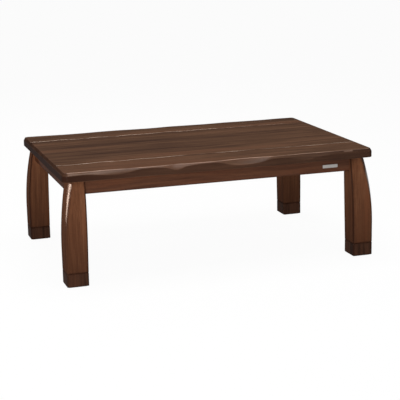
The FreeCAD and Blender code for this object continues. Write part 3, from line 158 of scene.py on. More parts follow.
@dataclass(frozen=True)
class Timber:
    """Sawn and planed wood, stained and lacquered or bare.

    It gives the eye broad bands, growth lines and short dark pores along the grain, and
    a satin sheen that the pores break up.
    """

    name: str
    grain: Grain
    dark: str
    middle: str
    light: str
    blush: str
    band_mm: float = 70.0
    line_mm: float = 9.0
    pore_mm: float = 0.9
    stretches: Point = (14.0, 26.0, 22.0)
    details: Point = (3.0, 5.0, 2.0)
    octaves: Point = (0.5, 0.6, 0.5)
    line_share: float = 0.55
    drift_mm: Pair = (700.0, 160.0)
    drift_width: float = 0.06
    tone_places: Point = (0.34, 0.5, 0.66)
    roughness: float = 0.42
    gloss_swings: Pair = (0.06, 0.04)
    coat: float = 0.05
    coat_roughness: float = 0.11
    specular: float = 0.5
    pore_depth_mm: float = 0.12
    seed: float = 0.0
    # Dark colour of the worn stain and of the painted shade.
    burnish: str = "#2a1710"
    # Painted shade: the colour darkens by up to this share from the higher level down to the lower one.
    shaded_levels_mm: Pair = (0.0, 1.0)
    shade_share: float = 0.0
    # Pale colour of the painted highlight line, and the attribute that gives its share.
    rubbed: str = "#c8a48e"
    rub_from: str = "rub"

    def build(self) -> Material:
        """Make the material.

        Returns:
            The material.
        """
        material = bare_material(self.name)
        add = partial(add_node, material.node_tree)
        place = add("TexCoord").outputs["Object"]
        turned = add("Mapping", {"Vector": place, "Rotation": self.grain.value})
        drift = self.noise(add, turned, self.drift_mm, 2.0, 0.5, 0.0)
        bend = add("VectorMath", operation="MULTIPLY",
                   links={0: drift.outputs["Color"], 1: (0.0, self.drift_width, self.drift_width)})
        flow = add("VectorMath", {0: turned, 1: bend})
        widths = (self.band_mm, self.line_mm, self.pore_mm)
        bands, lines, pores = (
            self.noise(add, flow, (width * stretch, width), detail, rough, width * stretch)
            for width, stretch, detail, rough in zip(widths, self.stretches, self.details, self.octaves)
        )
        tone = add("Mix", {0: self.line_share, 2: bands, 3: lines}, data_type="FLOAT")
        colour = add("ValToRGB", {"Fac": tone})
        stains = (linear(self.dark), linear(self.middle), linear(self.light))
        set_ramp(colour, tuple(zip(self.tone_places, stains)))
        redder = add("MapRange", interpolation_type=SMOOTH,
                     links={"Value": bands, "From Min": 0.5, "From Max": 0.72, "To Max": 0.7})
        pored = add("MapRange", interpolation_type=SMOOTH,
                    links={"Value": pores, "From Min": 0.56, "From Max": 0.7, "To Max": 0.5})
        # Painted shade: darker toward the lower level, for the shade that falls low on the legs and for a
        # shaded stain.
        level = add("SeparateXYZ", {0: place}).outputs["Z"]
        low, high = (level_mm * MM for level_mm in self.shaded_levels_mm)
        shaded = add("MapRange", {"Value": level, "From Min": low, "From Max": high,
                                  "To Min": self.shade_share, "To Max": 0.0})
        # The dark attribute marks worn stain and painted shade, and the pale one marks a painted highlight
        # line.
        worn, rub, polished = (add("Attribute", attribute_name=name).outputs["Fac"]
                               for name in ("burnish", self.rub_from, "polish"))
        # Painted highlight: a pale line broken by the growth lines.
        broken = add("MapRange", {"Value": lines, "From Min": 0.36, "From Max": 0.56, "To Max": rub})
        layers = ((redder, self.blush), (pored, self.dark), (shaded, self.burnish),
                  (worn, self.burnish), (broken, self.rubbed))
        for share, stain in layers:
            colour = add("Mix", {0: share, 6: colour, 7: linear(stain)}, data_type="RGBA")
        lacquer = add("Math", {0: polished, 1: self.coat}, operation="MAXIMUM")
        rougher, smoother = self.gloss_swings
        rough = add("MapRange", {"Value": tone, "From Min": 0.3, "From Max": 0.7,
                                 "To Min": self.roughness + rougher,
                                 "To Max": self.roughness - smoother})
        relief = add("Bump", invert=True,
                     links={"Strength": 0.6, "Distance": self.pore_depth_mm * MM, "Height": pored})
        shader = add("BsdfPrincipled", {
            "Base Color": colour, "Roughness": rough, "IOR": 1.5, "Specular IOR Level": self.specular,
            "Coat Weight": lacquer, "Coat Roughness": self.coat_roughness, "Normal": relief})
        add("OutputMaterial", {"Surface": shader})
        return material

    def noise(self, add: Adder, vector: Node, sizes_mm: Pair, detail: float,
              roughness: float, shift: float) -> Node:
        """Add streaks of one size.

        Args:
            add: Adds a node to the material.
            vector: Coordinates whose X runs along the grain, in metres.
            sizes_mm: Length and width of a streak.
            detail: Finer octaves.
            roughness: Strength of the finer octaves.
            shift: Step away from the seed.

        Returns:
            The noise, a value about 0.5.
        """
        along, across = (1 / (size * MM) for size in sizes_mm)
        scaled = add("VectorMath", {0: vector, 1: (along, across, across)}, operation="MULTIPLY")
        return add("TexNoise", noise_dimensions="4D",
                   links={"Vector": scaled, "W": self.seed + shift, "Scale": 1.0,
                          "Detail": detail, "Roughness": roughness})


@dataclass(frozen=True)
class Plain:
    """Even finish of a moulded, plated, painted or fired surface.

    It gives the eye a fine grain in colour, gloss and relief at a real size.
    """

    name: str
    colour: str
    grain_mm: float
    depth_mm: float
    roughness: float
    metallic: float = 0.0
    ior: float = 1.5
    variation: float = 0.12
    stretch: Point = (1.0, 1.0, 1.0)
    sheen: float = 0.0
    transmission: float = 0.0
    patch_mm: float = 30.0
    patch_share: float = 0.4
    details: Pair = (3.0, 2.0)
    gloss_swing: float = 0.05

    def build(self) -> Material:
        """Make the material.

        Returns:
            The material.
        """
        material = bare_material(self.name)
        add = partial(add_node, material.node_tree)
        place = add("TexCoord").outputs["Object"]
        scaled = add("Mapping", {"Vector": place, "Scale": self.stretch})
        sizes = (self.grain_mm, self.patch_mm)
        fine, broad = (
            add("TexNoise", {"Vector": vector, "Scale": 1 / (size * MM), "Detail": detail})
            for vector, size, detail in zip((scaled, place), sizes, self.details)
        )
        mixed = add("Mix", {0: self.patch_share, 2: fine, 3: broad}, data_type="FLOAT")
        colour = add("ValToRGB", {"Fac": mixed})
        red, green, blue, _ = linear(self.colour)
        set_ramp(colour, [
            (place, (min(red * grow, 1.0), min(green * grow, 1.0), min(blue * grow, 1.0), 1.0))
            for place, grow in ((0.35, 1 - self.variation), (0.65, 1 + self.variation))
        ])
        rough = add("MapRange", {"Value": mixed, "From Min": 0.3, "From Max": 0.7,
                                 "To Min": max(self.roughness - self.gloss_swing, 0.02),
                                 "To Max": self.roughness + self.gloss_swing})
        relief = add("Bump", {"Strength": 0.5, "Distance": self.depth_mm * MM, "Height": fine})
        shader = add("BsdfPrincipled", {
            "Base Color": colour, "Roughness": rough, "Metallic": self.metallic, "IOR": self.ior,
            "Sheen Weight": self.sheen, "Transmission Weight": self.transmission, "Normal": relief})
        add("OutputMaterial", {"Surface": shader})
        return material


# Mesh tools


def in_scene(name: str, data: Any) -> Object:
    """Put an object in the scene.

    Args:
        name: Name of the object.
        data: Its mesh, lamp or camera.

    Returns:
        The object, at the origin.
    """
    item = bpy.data.objects.new(name, data)
    bpy.context.scene.collection.objects.link(item)
    return item


def mesh_object(name: str, shape: Shape, *materials: Material) -> Object:
    """Make an object at the origin from points in millimetres.

    Args:
        name: Name of the piece.
        shape: Points and faces.
        materials: Material of each slot.

    Returns:
        The new object, in the scene.
    """
    points, faces = shape
    mesh = bpy.data.meshes.new(name)
    mesh.from_pydata([(x * MM, y * MM, z * MM) for x, y, z in points], [], faces)
    mesh.update()
    for material in materials:
        mesh.materials.append(material)
    return in_scene(name, mesh)


def shade(mesh: Mesh, angle: float) -> None:
    """Shade a mesh smooth, but for edges that turn by more than an angle in degrees."""
    mesh.polygons.foreach_set("use_smooth", [True] * len(mesh.polygons))
    mesh.set_sharp_from_angle(angle=math.radians(angle))


def outward(piece: Object) -> None:
    """Merge the doubles of a closed piece and point its faces outward.

    Args:
        piece: Piece whose mesh is changed.
    """
    cleaned = bmesh.new()
    cleaned.from_mesh(piece.data)
    bmesh.ops.remove_doubles(cleaned, verts=cleaned.verts, dist=MERGE)
    bmesh.ops.recalc_face_normals(cleaned, faces=cleaned.faces)
    cleaned.to_mesh(piece.data)
    cleaned.free()


def settle(piece: Object) -> None:
    """Turn a piece's modifiers into its plain mesh.

    Args:
        piece: Piece with live modifiers.
    """
    evaluated = piece.evaluated_get(bpy.context.evaluated_depsgraph_get())
    mesh = bpy.data.meshes.new_from_object(evaluated)
    piece.modifiers.clear()
    piece.data = mesh


def cut_out(piece: Object, blocks: Sequence[Shape]) -> None:
    """Cut closed blocks out of a piece.

    Args:
        piece: Closed piece to cut.
        blocks: Points and faces of each block.
    """
    wastes = [mesh_object("waste", block) for block in blocks]
    for waste in wastes:
        outward(waste)
        cut = piece.modifiers.new("cut", "BOOLEAN")
        cut.object = waste
        cut.solver = "EXACT"
    settle(piece)
    for waste in wastes:
        bpy.data.objects.remove(waste)


def list_faces_in_order(cleaned: BMesh) -> None:
    """List the faces by their points, so that every run gives the same mesh.

    Args:
        cleaned: Mesh whose cuts may list them in another order each time.
    """
    cleaned.verts.index_update()
    faces = sorted(cleaned.faces, key=lambda face: sorted(v.index for v in face.verts))
    ranks = {face: rank for rank, face in enumerate(faces)}
    cleaned.faces.sort(key=ranks.get)


def ring_stack(rings: Sequence[Sequence[Point]]) -> Shape:
    """Join rings of equal counts into a closed skin with a cap at each end.

    Args:
        rings: Closed rings of points, in order.

    Returns:
        Points and faces of the skin.
    """
    count = len(rings[0])
    points = [point for ring in rings for point in ring]
    last = len(points) - count
    faces: list[tuple[int, ...]] = []
    for low in range(0, last, count):
        for n in range(count):
            after = (n + 1) % count
            faces.append((low + n, low + after, low + count + after, low + count + n))
    return points, faces + [tuple(reversed(range(count))), tuple(range(last, len(points)))]


def eased(start: Pair, corner: Pair, end: Pair, steps: int = 3) -> list[Pair]:
    """Round a corner between two points.

    Args:
        start: Point before the corner.
        corner: Sharp corner.
        end: Point after it.
        steps: Facets of the round.

    Returns:
        Points of the curve, ends included.
    """
    curve = []
    for n in range(steps + 1):
        t = n / steps
        near, middle = (1 - t) ** 2, 2 * t * (1 - t)
        curve.append(tuple(near * a + middle * b + t * t * c for a, b, c in zip(start, corner, end)))
    return curve


def smooth_through(places: Sequence[float], values: Sequence[float], at: float) -> float:
    """Read a smooth curve that runs through given values.

    Args:
        places: Places of the values, rising.
        values: Value at each place.
        at: Place to read.

    Returns:
        The value there.
    """
    if at <= places[0]:
        return values[0]
    if at >= places[-1]:
        return values[-1]
    slopes = [0.0]
    for n in range(1, len(places) - 1):
        slopes.append((values[n + 1] - values[n - 1]) / (places[n + 1] - places[n - 1]))
    slopes.append(0.0)
    n = max(k for k in range(len(places) - 1) if places[k] <= at)
    span = places[n + 1] - places[n]
    t = (at - places[n]) / span
    first = (2 * t**3 - 3 * t**2 + 1) * values[n] + (t**3 - 2 * t**2 + t) * span * slopes[n]
    second = (3 * t**2 - 2 * t**3) * values[n + 1] + (t**3 - t**2) * span * slopes[n + 1]
    return first + second


def store(mesh: Mesh, name: str, values: Sequence[Any]) -> None:
    """Store a value for each point of a mesh, for its material or its nodes to read.

    Args:
        mesh: Mesh that keeps the values.
        name: Name to read them by.
        values: A share or a vector for each point.
    """
    kind, part = ("FLOAT", "value") if isinstance(values[0], float) else ("FLOAT_VECTOR", "vector")
    layer = mesh.attributes.new(name, kind, "POINT")
    layer.data.foreach_set(part, np.ravel(values).tolist())


def shape_tree(name: str, inputs: dict[str, str]) -> tuple[NodeTree, Adder, Any]:
    """Start a Geometry Nodes tree.

    Args:
        name: Name of the tree.
        inputs: Kind of each named input, besides the geometry and the finish.

    Returns:
        The tree, what adds a node to it, and its inputs.
    """
    tree = bpy.data.node_groups.new(name, "GeometryNodeTree")
    for label, kind in {"Geometry": "Geometry", **inputs, "Finish": "Material"}.items():
        tree.interface.new_socket(name=label, in_out="INPUT", socket_type="NodeSocket" + kind)
    tree.interface.new_socket(name="Geometry", in_out="OUTPUT", socket_type="NodeSocketGeometry")
    add = partial(add_node, tree)
    return tree, add, add("NodeGroupInput").outputs


def end_tree(add: Adder, shape: Node, finish: NodeSocket) -> None:
    """End a Geometry Nodes tree with real geometry in its finish.

    Args:
        add: Adds a node to the tree.
        shape: Node that gives the geometry.
        finish: Input that gives the material.
    """
    real = add("GeometryNodeRealizeInstances", {"Geometry": shape})
    dressed = add("GeometryNodeSetMaterial", {"Geometry": real, "Material": finish})
    add("NodeGroupOutput", {0: dressed})


def run_tree(piece: Object, tree: NodeTree, inputs: dict[str, Any]) -> None:
    """Turn an object into the plain mesh that a Geometry Nodes tree makes of it.

    Args:
        piece: Object to change.
        tree: Tree to run.
        inputs: Value of each named input.
    """
    modifier = piece.modifiers.new("shape", "NODES")
    modifier.node_group = tree
    for item in tree.interface.items_tree:
        if item.in_out == "INPUT" and item.name in inputs:
            modifier[item.identifier] = inputs[item.name]
    settle(piece)


@dataclass
class Assembly:
    """Sub-assembly that lists its finished pieces."""

    pieces: list[Object] = field(default_factory=list, init=False)

    def seat(self, piece: Object, angle: float, body: str, slot: str = "", *nodes: str) -> None:
        """Shade a piece, let it ride on a body and stand for its solids.

        Args:
            piece: Finished piece.
            angle: Edges that turn by more than this angle in degrees stay sharp.
            body: Body that it moves with.
            slot: Not used.
            nodes: Solids that it replaces.
        """
        shade(piece.data, angle)
        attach(piece, body)
        if nodes:
            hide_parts(*nodes)
        self.pieces.append(piece)


# Board


@dataclass
class CarvedBoard(Assembly):
    """Lift-off board of a front plank, a centre panel and a rear plank."""

    length: float = 1200.0
    depth: float = 800.0
    bottom: float = 386.0
    top: float = 420.0
    corner_radius: float = 20.0
    corner_steps: int = 10
    end_steps: int = 20
    under_arris: float = 2.0
    end_drop: float = 11.0
    end_inset: float = 6.5
    carve_drop: float = 22.0
    carve_inset: float = 15.0
    lower_round: float = 2.6
    upper_round: float = 1.8
    front_joint: float = -247.0
    rear_joint: float = 263.0
    groove_depth: float = 1.8
    groove_cuts: int = 120
    channel_spread: float = 300.0
    pocket_half_width: float = 15.3
    pocket_ends: Pair = (-312.3, 328.3)
    pocket_levels: Pair = (381.0, 398.0)
    step: float = 6.0
    edge_stain: float = 0.6
    rim_width: float = 17.5
    underside_flat: float = 8.0
    face_margins: Pair = (1.5, 1.0)
    top_flat: float = 2.0
    most_round: float = 0.4
    groove_margin: float = 0.2
    bevel_normals: Pair = (0.3, 0.985)
    # Place, share and fade toward the right end of the painted highlight line above the front bevel.
    line_normal: float = 0.7
    line_depth: float = 2.2
    line_share: float = 0.9
    right_fade: float = 0.5
    # Painted shade on the end bevels, and on the side bevels growing toward the right end.
    end_wear: float = 0.6
    side_wear: float = 0.75
    wear_from: float = 0.45
    # The upright faces take a darker edge stain, with painted shade added toward the left end.
    upright_normal: float = 0.45
    upright_gain: float = 1.6
    left_gain: float = 1.8
    left_share: float = 0.3
    end_gloss: float = 0.12
    side_gloss: float = 0.5
    front_carving: tuple[Point, ...] = (
        (-0.89, 0.43, 0.42), (-0.76, 0.77, 0.52), (-0.64, 0.73, 0.45), (-0.53, 0.24, 0.22),
        (-0.40, 0.30, 0.30), (-0.31, 0.90, 0.62), (-0.24, 0.42, 0.34), (-0.13, 0.26, 0.20),
        (-0.03, 0.34, 0.26), (0.06, 0.88, 0.66), (0.14, 1.00, 0.90), (0.24, 0.86, 0.76),
        (0.32, 0.48, 0.30), (0.43, 0.52, 0.32), (0.55, 0.98, 0.70), (0.65, 0.82, 0.60),
        (0.74, 0.46, 0.42), (0.87, 0.40, 0.52),
    )
    rear_carving: tuple[Point, ...] = (
        (-0.90, 0.40, 0.36), (-0.77, 0.84, 0.66), (-0.62, 0.70, 0.60), (-0.47, 0.36, 0.42),
        (-0.32, 0.78, 0.72), (-0.18, 0.48, 0.60), (-0.04, 0.44, 0.46), (0.10, 0.96, 0.92),
        (0.22, 0.80, 0.80), (0.34, 0.38, 0.44), (0.47, 0.50, 0.50), (0.60, 0.94, 0.92),
        (0.74, 0.98, 1.00), (0.88, 0.56, 0.66),
    )
    front_wander: tuple[Pair, ...] = (
        (-590, 0), (-541, -5), (-485, -1), (-413, 4), (-372, -2), (-334, -2), (-294, 5),
        (-238, 1), (-179, 2), (-120, 6), (-42, 3), (58, 5), (118, 4), (179, 4), (239, 2),
        (301, 1.5), (362, -1), (413, -3), (467, 0.5), (537, 4.4), (590, 0),
    )
    rear_wander: tuple[Pair, ...] = (
        (-590, 0), (-540, -4), (-470, 5), (-400, -4), (-330, 4), (-250, -5), (-180, 3),
        (-110, -3), (-30, 6), (60, -2), (150, 4), (240, -4), (330, 3), (420, -3), (510, 2),
        (590, 0),
    )

    def section(self, drop: float, inset: float) -> list[Pair]:
        """Outline of the edge at one place, from the underside to the top.

        Args:
            drop: Height of the bevel.
            inset: Width of the bevel.

        Returns:
            Pairs of distance inward and level.
        """
        slope = math.hypot(drop, inset)
        across, up = inset / slope, drop / slope
        low, high = (min(width, slope * self.most_round) for width in (self.lower_round, self.upper_round))
        foot, arris, bottom, top = self.top - drop, self.under_arris, self.bottom, self.top
        lower, upper = self.face_margins
        return [
            (arris + self.underside_flat, bottom),
            *eased((arris, bottom), (0, bottom), (0, bottom + arris)),
            (0, bottom + arris + lower), (0, foot - low - upper),
            *eased((0, foot - low), (0, foot), (low * across, foot + low * up)),
            *eased((inset - high * across, top - high * up), (inset, top), (inset + high, top)),
            (inset + high + self.top_flat, top),
        ]

    def corner(self, x: float, y: float, first: float) -> list[tuple[float, ...]]:
        """Places round one corner of the outline.

        Args:
            x: Middle of the corner along X.
            y: Middle of the corner along Y.
            first: Direction in degrees at which it starts.

        Returns:
            Point, outward direction, bevel drop and bevel inset of each place.
        """
        found = []
        for n in range(1, self.corner_steps):
            turn = math.radians(first + 90 / self.corner_steps * n)
            out = (math.cos(turn), math.sin(turn))
            found.append((x + self.corner_radius * out[0], y + self.corner_radius * out[1], *out,
                          self.end_drop, self.end_inset))
        return found

    def stations(self) -> list[tuple[float, ...]]:
        """Places round the whole outline.

        Returns:
            Point, outward direction, bevel drop and bevel inset of each place.
        """
        reach_x = self.length / 2 - self.corner_radius
        reach_y = self.depth / 2 - self.corner_radius
        steps = round(2 * reach_x / self.step)
        found = []
        for side, carving in ((-1, self.front_carving), (1, self.rear_carving)):
            places = [-reach_x] + [reach_x * row[0] for row in carving] + [reach_x]
            drops = [self.end_drop] + [self.carve_drop * row[1] for row in carving] + [self.end_drop]
            insets = [self.carve_inset * row[2] for row in carving]
            insets = [self.end_inset] + insets + [self.end_inset]
            for n in range(steps + 1):
                at = -reach_x + 2 * reach_x * n / steps
                bevel = (smooth_through(places, drops, at), smooth_through(places, insets, at))
                found.append((-side * at, side * self.depth / 2, 0, side, *bevel))
            x, y = reach_x * -side, reach_y * side
            found += self.corner(x, y, 90 * side)
            for n in range(self.end_steps + 1):
                along = side * (reach_y - 2 * reach_y * n / self.end_steps)
                found.append((x + self.corner_radius * -side, along, -side, 0,
                              self.end_drop, self.end_inset))
            found += self.corner(x, -y, 90 * side + 90)
        return found

    def blank(self) -> Shape:
        """Whole board with its carved edges.

        Returns:
            Its points and faces.
        """
        rows = [(row[:4], self.section(*row[4:])) for row in self.stations()]
        return ring_stack([
            [(x - out_x * section[level][0], y - out_y * section[level][0], section[level][1])
             for (x, y, out_x, out_y), section in rows]
            for level in range(len(rows[0][1]))
        ])

    def pocket(self, x: float) -> Shape:
        """Block of waste for one channel's pocket.

        Args:
            x: Middle of the channel.

        Returns:
            Its points and faces.
        """
        left, right = x - self.pocket_half_width, x + self.pocket_half_width
        front, rear = self.pocket_ends
        return ring_stack([
            [(left, front, level), (right, front, level), (right, rear, level), (left, rear, level)]
            for level in self.pocket_levels
        ])

    def split(self, cleaned: BMesh, line: float, keep_front: bool) -> None:
        """Cut a board along a joint and close the cut.

        Args:
            cleaned: Board to cut.
            line: Place of the joint along Y.
            keep_front: Whether the part in front of the joint stays.
        """
        cut = bmesh.ops.bisect_plane(
            cleaned, geom=cleaned.verts[:] + cleaned.edges[:] + cleaned.faces[:],
            plane_co=(0, line * MM, 0), plane_no=(0, 1, 0),
            clear_outer=keep_front, clear_inner=not keep_front)
        edges = [e for e in cut["geom_cut"] if isinstance(e, BMEdge)]
        bmesh.ops.contextual_create(cleaned, geom=edges)

    def joint_edges(self, cleaned: BMesh, line: float) -> list[BMEdge]:
        """Edges where a joint meets the top.

        Args:
            cleaned: Plank with the joint along its edge.
            line: Place of the joint along Y.

        Returns:
            The edges.
        """
        return [
            edge for edge in cleaned.edges
            if all(max(abs(v.co.y / MM - line), abs(v.co.z / MM - self.top)) < NEAR for v in edge.verts)
        ]

    def ease_joint(self, cleaned: BMesh, line: float, wander: Sequence[Pair]) -> None:
        """Cut one side of the groove along a joint, and let its line wander.

        Args:
            cleaned: Plank with the joint along its edge.
            line: Place of the joint along Y.
            wander: Place along X and drift along Y of the line.
        """
        bmesh.ops.subdivide_edges(cleaned, edges=self.joint_edges(cleaned, line), cuts=self.groove_cuts)
        bmesh.ops.bevel(cleaned, geom=self.joint_edges(cleaned, line), segments=1, material=1,
                        offset=self.groove_depth * MM, affect="EDGES")
        places, drifts = zip(*wander)
        reach = self.groove_depth + self.groove_margin
        for vertex in cleaned.verts:
            near = abs(vertex.co.y - line * MM) < reach * MM
            if near and vertex.co.z > (self.top - reach) * MM:
                vertex.co.y += smooth_through(places, drifts, vertex.co.x / MM) * MM

    def stain(self, mesh: Mesh) -> None:
        """Mark the darker upright faces of a plank, the painted shade on its bevels and left end, and the
        painted highlight line above its front bevel.

        Args:
            mesh: Mesh of the plank.
        """
        low, high = self.bevel_normals
        dark, rubbed, glossy, line = [], [], [], []
        for vertex in mesh.vertices:
            up = vertex.normal.z
            x, y, level = (part / MM for part in vertex.co)
            at_end = abs(x) > self.length / 2 - self.rim_width
            at_side = abs(y) > self.depth / 2 - self.rim_width
            sloped = low < up < high and (at_end or at_side)
            across = x / self.length + 0.5
            fade = 1.0 - self.right_fade * across
            # Painted shade: the end bevels are darkened, and the side bevels darken toward the right end.
            worn = 0.0
            if sloped and at_end:
                worn = self.end_wear
            elif sloped:
                worn = self.side_wear * max(across - self.wear_from, 0.0) / (1 - self.wear_from)
            upright = min(max(1 - abs(up) / self.upright_normal, 0.0) * self.upright_gain, 1.0)
            # Darker edge stain on the upright faces, with painted shade that grows toward the left end.
            deeper = self.edge_stain * (1 + self.left_gain * max(self.left_share - across, 0.0))
            dark.append(max(upright * deeper, worn))
            # Painted highlight: a pale line on the rounded arris above the front bevel, fading toward the
            # right end.
            in_front = y < 0 and at_side and not at_end
            on_line = level > self.top - self.line_depth and self.line_normal < up < high
            rubbed.append(fade * self.line_share if in_front and on_line else 0.0)
            glossy.append((self.end_gloss if at_end else self.side_gloss * fade) if sloped else 0.0)
            # Share of the painted highlight on the groove faces, fading toward the right end.
            line.append(fade)
        for name, values in (("burnish", dark), ("rub", rubbed), ("polish", glossy), ("line", line)):
            store(mesh, name, values)

    def build(self, materials: Materials) -> None:
        """Make the three planks and let them ride on the board's body.

        Args:
            materials: Finish of each plank and of the groove.
        """
        whole = mesh_object("board_blank", self.blank())
        outward(whole)
        cut_out(whole, [self.pocket(x) for x in (-self.channel_spread, self.channel_spread)])
        front, rear = self.front_joint, self.rear_joint
        wanders = {front: self.front_wander, rear: self.rear_wander}
        plan = {
            "board_front_plank": {front: True},
            "board_centre_panel": {front: False, rear: True},
            "board_rear_plank": {rear: False},
        }
        for name, cuts in plan.items():
            cleaned = bmesh.new()
            cleaned.from_mesh(whole.data)
            for line, keep_front in cuts.items():
                self.split(cleaned, line, keep_front)
            for line in cuts:
                self.ease_joint(cleaned, line, wanders[line])
            list_faces_in_order(cleaned)
            plank = mesh_object(name + "_carved", ([], []), materials[name], materials["groove"])
            cleaned.to_mesh(plank.data)
            cleaned.free()
            self.stain(plank.data)
            self.seat(plank, 40, "tabletop", "walnut_board", name)
        bpy.data.objects.remove(whole)


# Legs and feet


@dataclass
class LegSet(Assembly):
    """Four stout legs that bow in toward the top, and the feet plugged in under them."""

    side: float = 80.0
    top_side: float = 56.0
    leg_x: float = 520.0
    leg_y: float = 320.0
    bottom: float = 52.0
    bow_start: float = 130.0
    top: float = 384.0
    first_level: float = 70.0
    last_level: float = 382.0
    rim: tuple[Pair, ...] = ((0.0, 2.0), (0.6, 0.6), (2.0, 0.0), (6.0, 0.0))
    top_ease: float = 0.4
    inner_flat: float = 6.0
    chamfer_round: float = 0.15
    most_round: float = 1.0
    shoulder_width: float = 5.6
    steps: int = 26
    arris: float = 2.0
    corner_foot: float = 3.5
    corner_top: float = 18.0
    lean: float = 4.2
    lean_levels: Pair = (52.0, 310.0)
    seat_depth: float = 10.0
    seat_level: float = 322.0
    seat_shares: tuple[float, ...] = (0.0, 0.27, 0.5, 0.73, 1.0)
    bore_radius: float = 11.1
    bore_length: float = 40.5
    foot_bottom: float = 2.0
    burnish_width: float = 7.0
    arris_points: tuple[int, ...] = (7, 8, 9, 10, 25, 26, 27, 28)
    chamfer_points: tuple[int, ...] = (14, 15, 16, 17, 18, 19, 20, 21)
    face_points: tuple[int, ...] = (17, 18)
    polish_levels: Pair = (200.0, 320.0)
    least_polish: float = 0.08
    rim_wear: float = 0.45
    arris_wear: float = 0.85
    chamfer_wear: float = 0.35
    points: int = 31

    def section(self, reach: float, corner: float, cut: bool) -> list[Pair]:
        """Plan outline of a leg, from its inner corner round to it again.

        Args:
            reach: Width of the leg here.
            corner: Width that the outer corner's chamfer takes off each face.
            cut: Whether the inner corner is cut back as the bolt's seat.

        Returns:
            Plan points, counter-clockwise.
        """
        ease, soft, middle, flat = self.arris, self.burnish_width, reach / 2, self.inner_flat
        edge = min(corner * self.chamfer_round, self.most_round)
        shoulder = reach - corner
        inner = [(0.0, flat), (0.0, ease), (ease / 3, ease / 3), (ease, 0.0), (flat, 0.0)]
        if cut:
            seat = self.seat_depth * SQRT2
            inner = [(seat * share, seat * (1 - share)) for share in self.seat_shares]
        half = [
            (middle, 0.0), (reach - soft, 0.0),
            *eased((reach - ease, 0.0), (reach, 0.0), (reach, ease)),
            (reach, soft), (reach, middle), (reach, shoulder - self.shoulder_width),
            *eased((reach, shoulder - edge), (reach, shoulder), (reach - edge, shoulder + edge)),
        ]
        return inner + half + [(y, x) for x, y in reversed(half)]

    def shrunk(self, outline: Sequence[Pair], reach: float, amount: float) -> list[Pair]:
        """Draw an outline in toward its middle.

        Args:
            outline: Plan points.
            reach: Width of the outline.
            amount: Distance that its sides move in.

        Returns:
            The smaller outline.
        """
        middle = reach / 2
        scale = 1 - amount / middle
        return [(middle + (x - middle) * scale, middle + (y - middle) * scale) for x, y in outline]

    def worn(self, at_rim: bool) -> list[float]:
        """Share of worn, darker stain at each point of the plan outline.

        Args:
            at_rim: Whether the level is at the rim of a piece.

        Returns:
            The shares.
        """
        least = self.rim_wear if at_rim else 0.0
        shares = [least] * self.points
        for n in self.arris_points:
            shares[n] = max(self.arris_wear, least)
        for n in self.chamfer_points:
            shares[n] = max(self.chamfer_wear, least)
        return shares

    def polish(self, level: float) -> list[float]:
        """Share of rubbed, glossy lacquer, on the face of the corner's chamfer.

        Args:
            level: Height above the floor.

        Returns:
            Share at each point of the plan outline.
        """
        shares = [0.0] * self.points
        low, high = self.polish_levels
        rise = min(max((level - low) / (high - low), 0.0), 1.0)
        for n in self.face_points:
            shares[n] = self.least_polish + (1 - self.least_polish) * rise
        return shares

    def base(self, material: Material) -> Object:
        """Straight leg with a bore, which carries its foot and top sections as attributes.

        Args:
            material: Finish of the leg.

        Returns:
            The leg.
        """
        rise = self.last_level - self.first_level
        levels = [self.bottom + up for up, _ in self.rim]
        levels += [self.first_level + rise * n / self.steps for n in range(self.steps + 1)]
        levels += [self.top - self.top_ease, self.top, self.seat_level, self.seat_level]
        levels.sort()
        shrinks = [inward for _, inward in self.rim] + [0.0] * (len(levels) - len(self.rim))
        shrinks[-1] = self.top_ease
        rim_top = self.bottom + self.rim[-1][0]
        rows = []
        for n, level in enumerate(levels):
            cut = level > self.seat_level or level == self.seat_level == levels[n - 1]
            foot, top = (
                self.shrunk(self.section(reach, corner, cut), reach, shrinks[n])
                for reach, corner in ((self.side, self.corner_foot), (self.top_side, self.corner_top))
            )
            leans = [(x / self.side - 1, y / self.side - 1, 0.0) for x, y in foot]
            rows.append((foot, top, level, leans, self.worn(level < rim_top), self.polish(level)))
        mouth, middle = rows[0][0], self.side / 2
        ring = []
        for x, y in mouth:
            away = math.hypot(x - middle, y - middle)
            ring.append((middle + (x - middle) / away * self.bore_radius,
                         middle + (y - middle) / away * self.bore_radius))
        for level in (self.bottom, self.bottom + self.bore_length):
            rows.insert(0, (ring, ring, level, [(0.0, 0.0, 0.0)] * len(ring),
                            [0.0] * len(ring), [0.0] * len(ring)))
        rings = [[(x, y, row[2]) for x, y in row[0]] for row in rows]
        leg = mesh_object("leg_base", ring_stack(rings), material)
        for column, name in enumerate(("foot_section", "top_section")):
            plan = [(x * MM, y * MM, 0.0) for row in rows for x, y in row[column]]
            store(leg.data, name, plan)
        for column, name in ((3, "lean_share"), (4, "burnish"), (5, "polish")):
            store(leg.data, name, [value for row in rows for value in row[column]])
        return leg

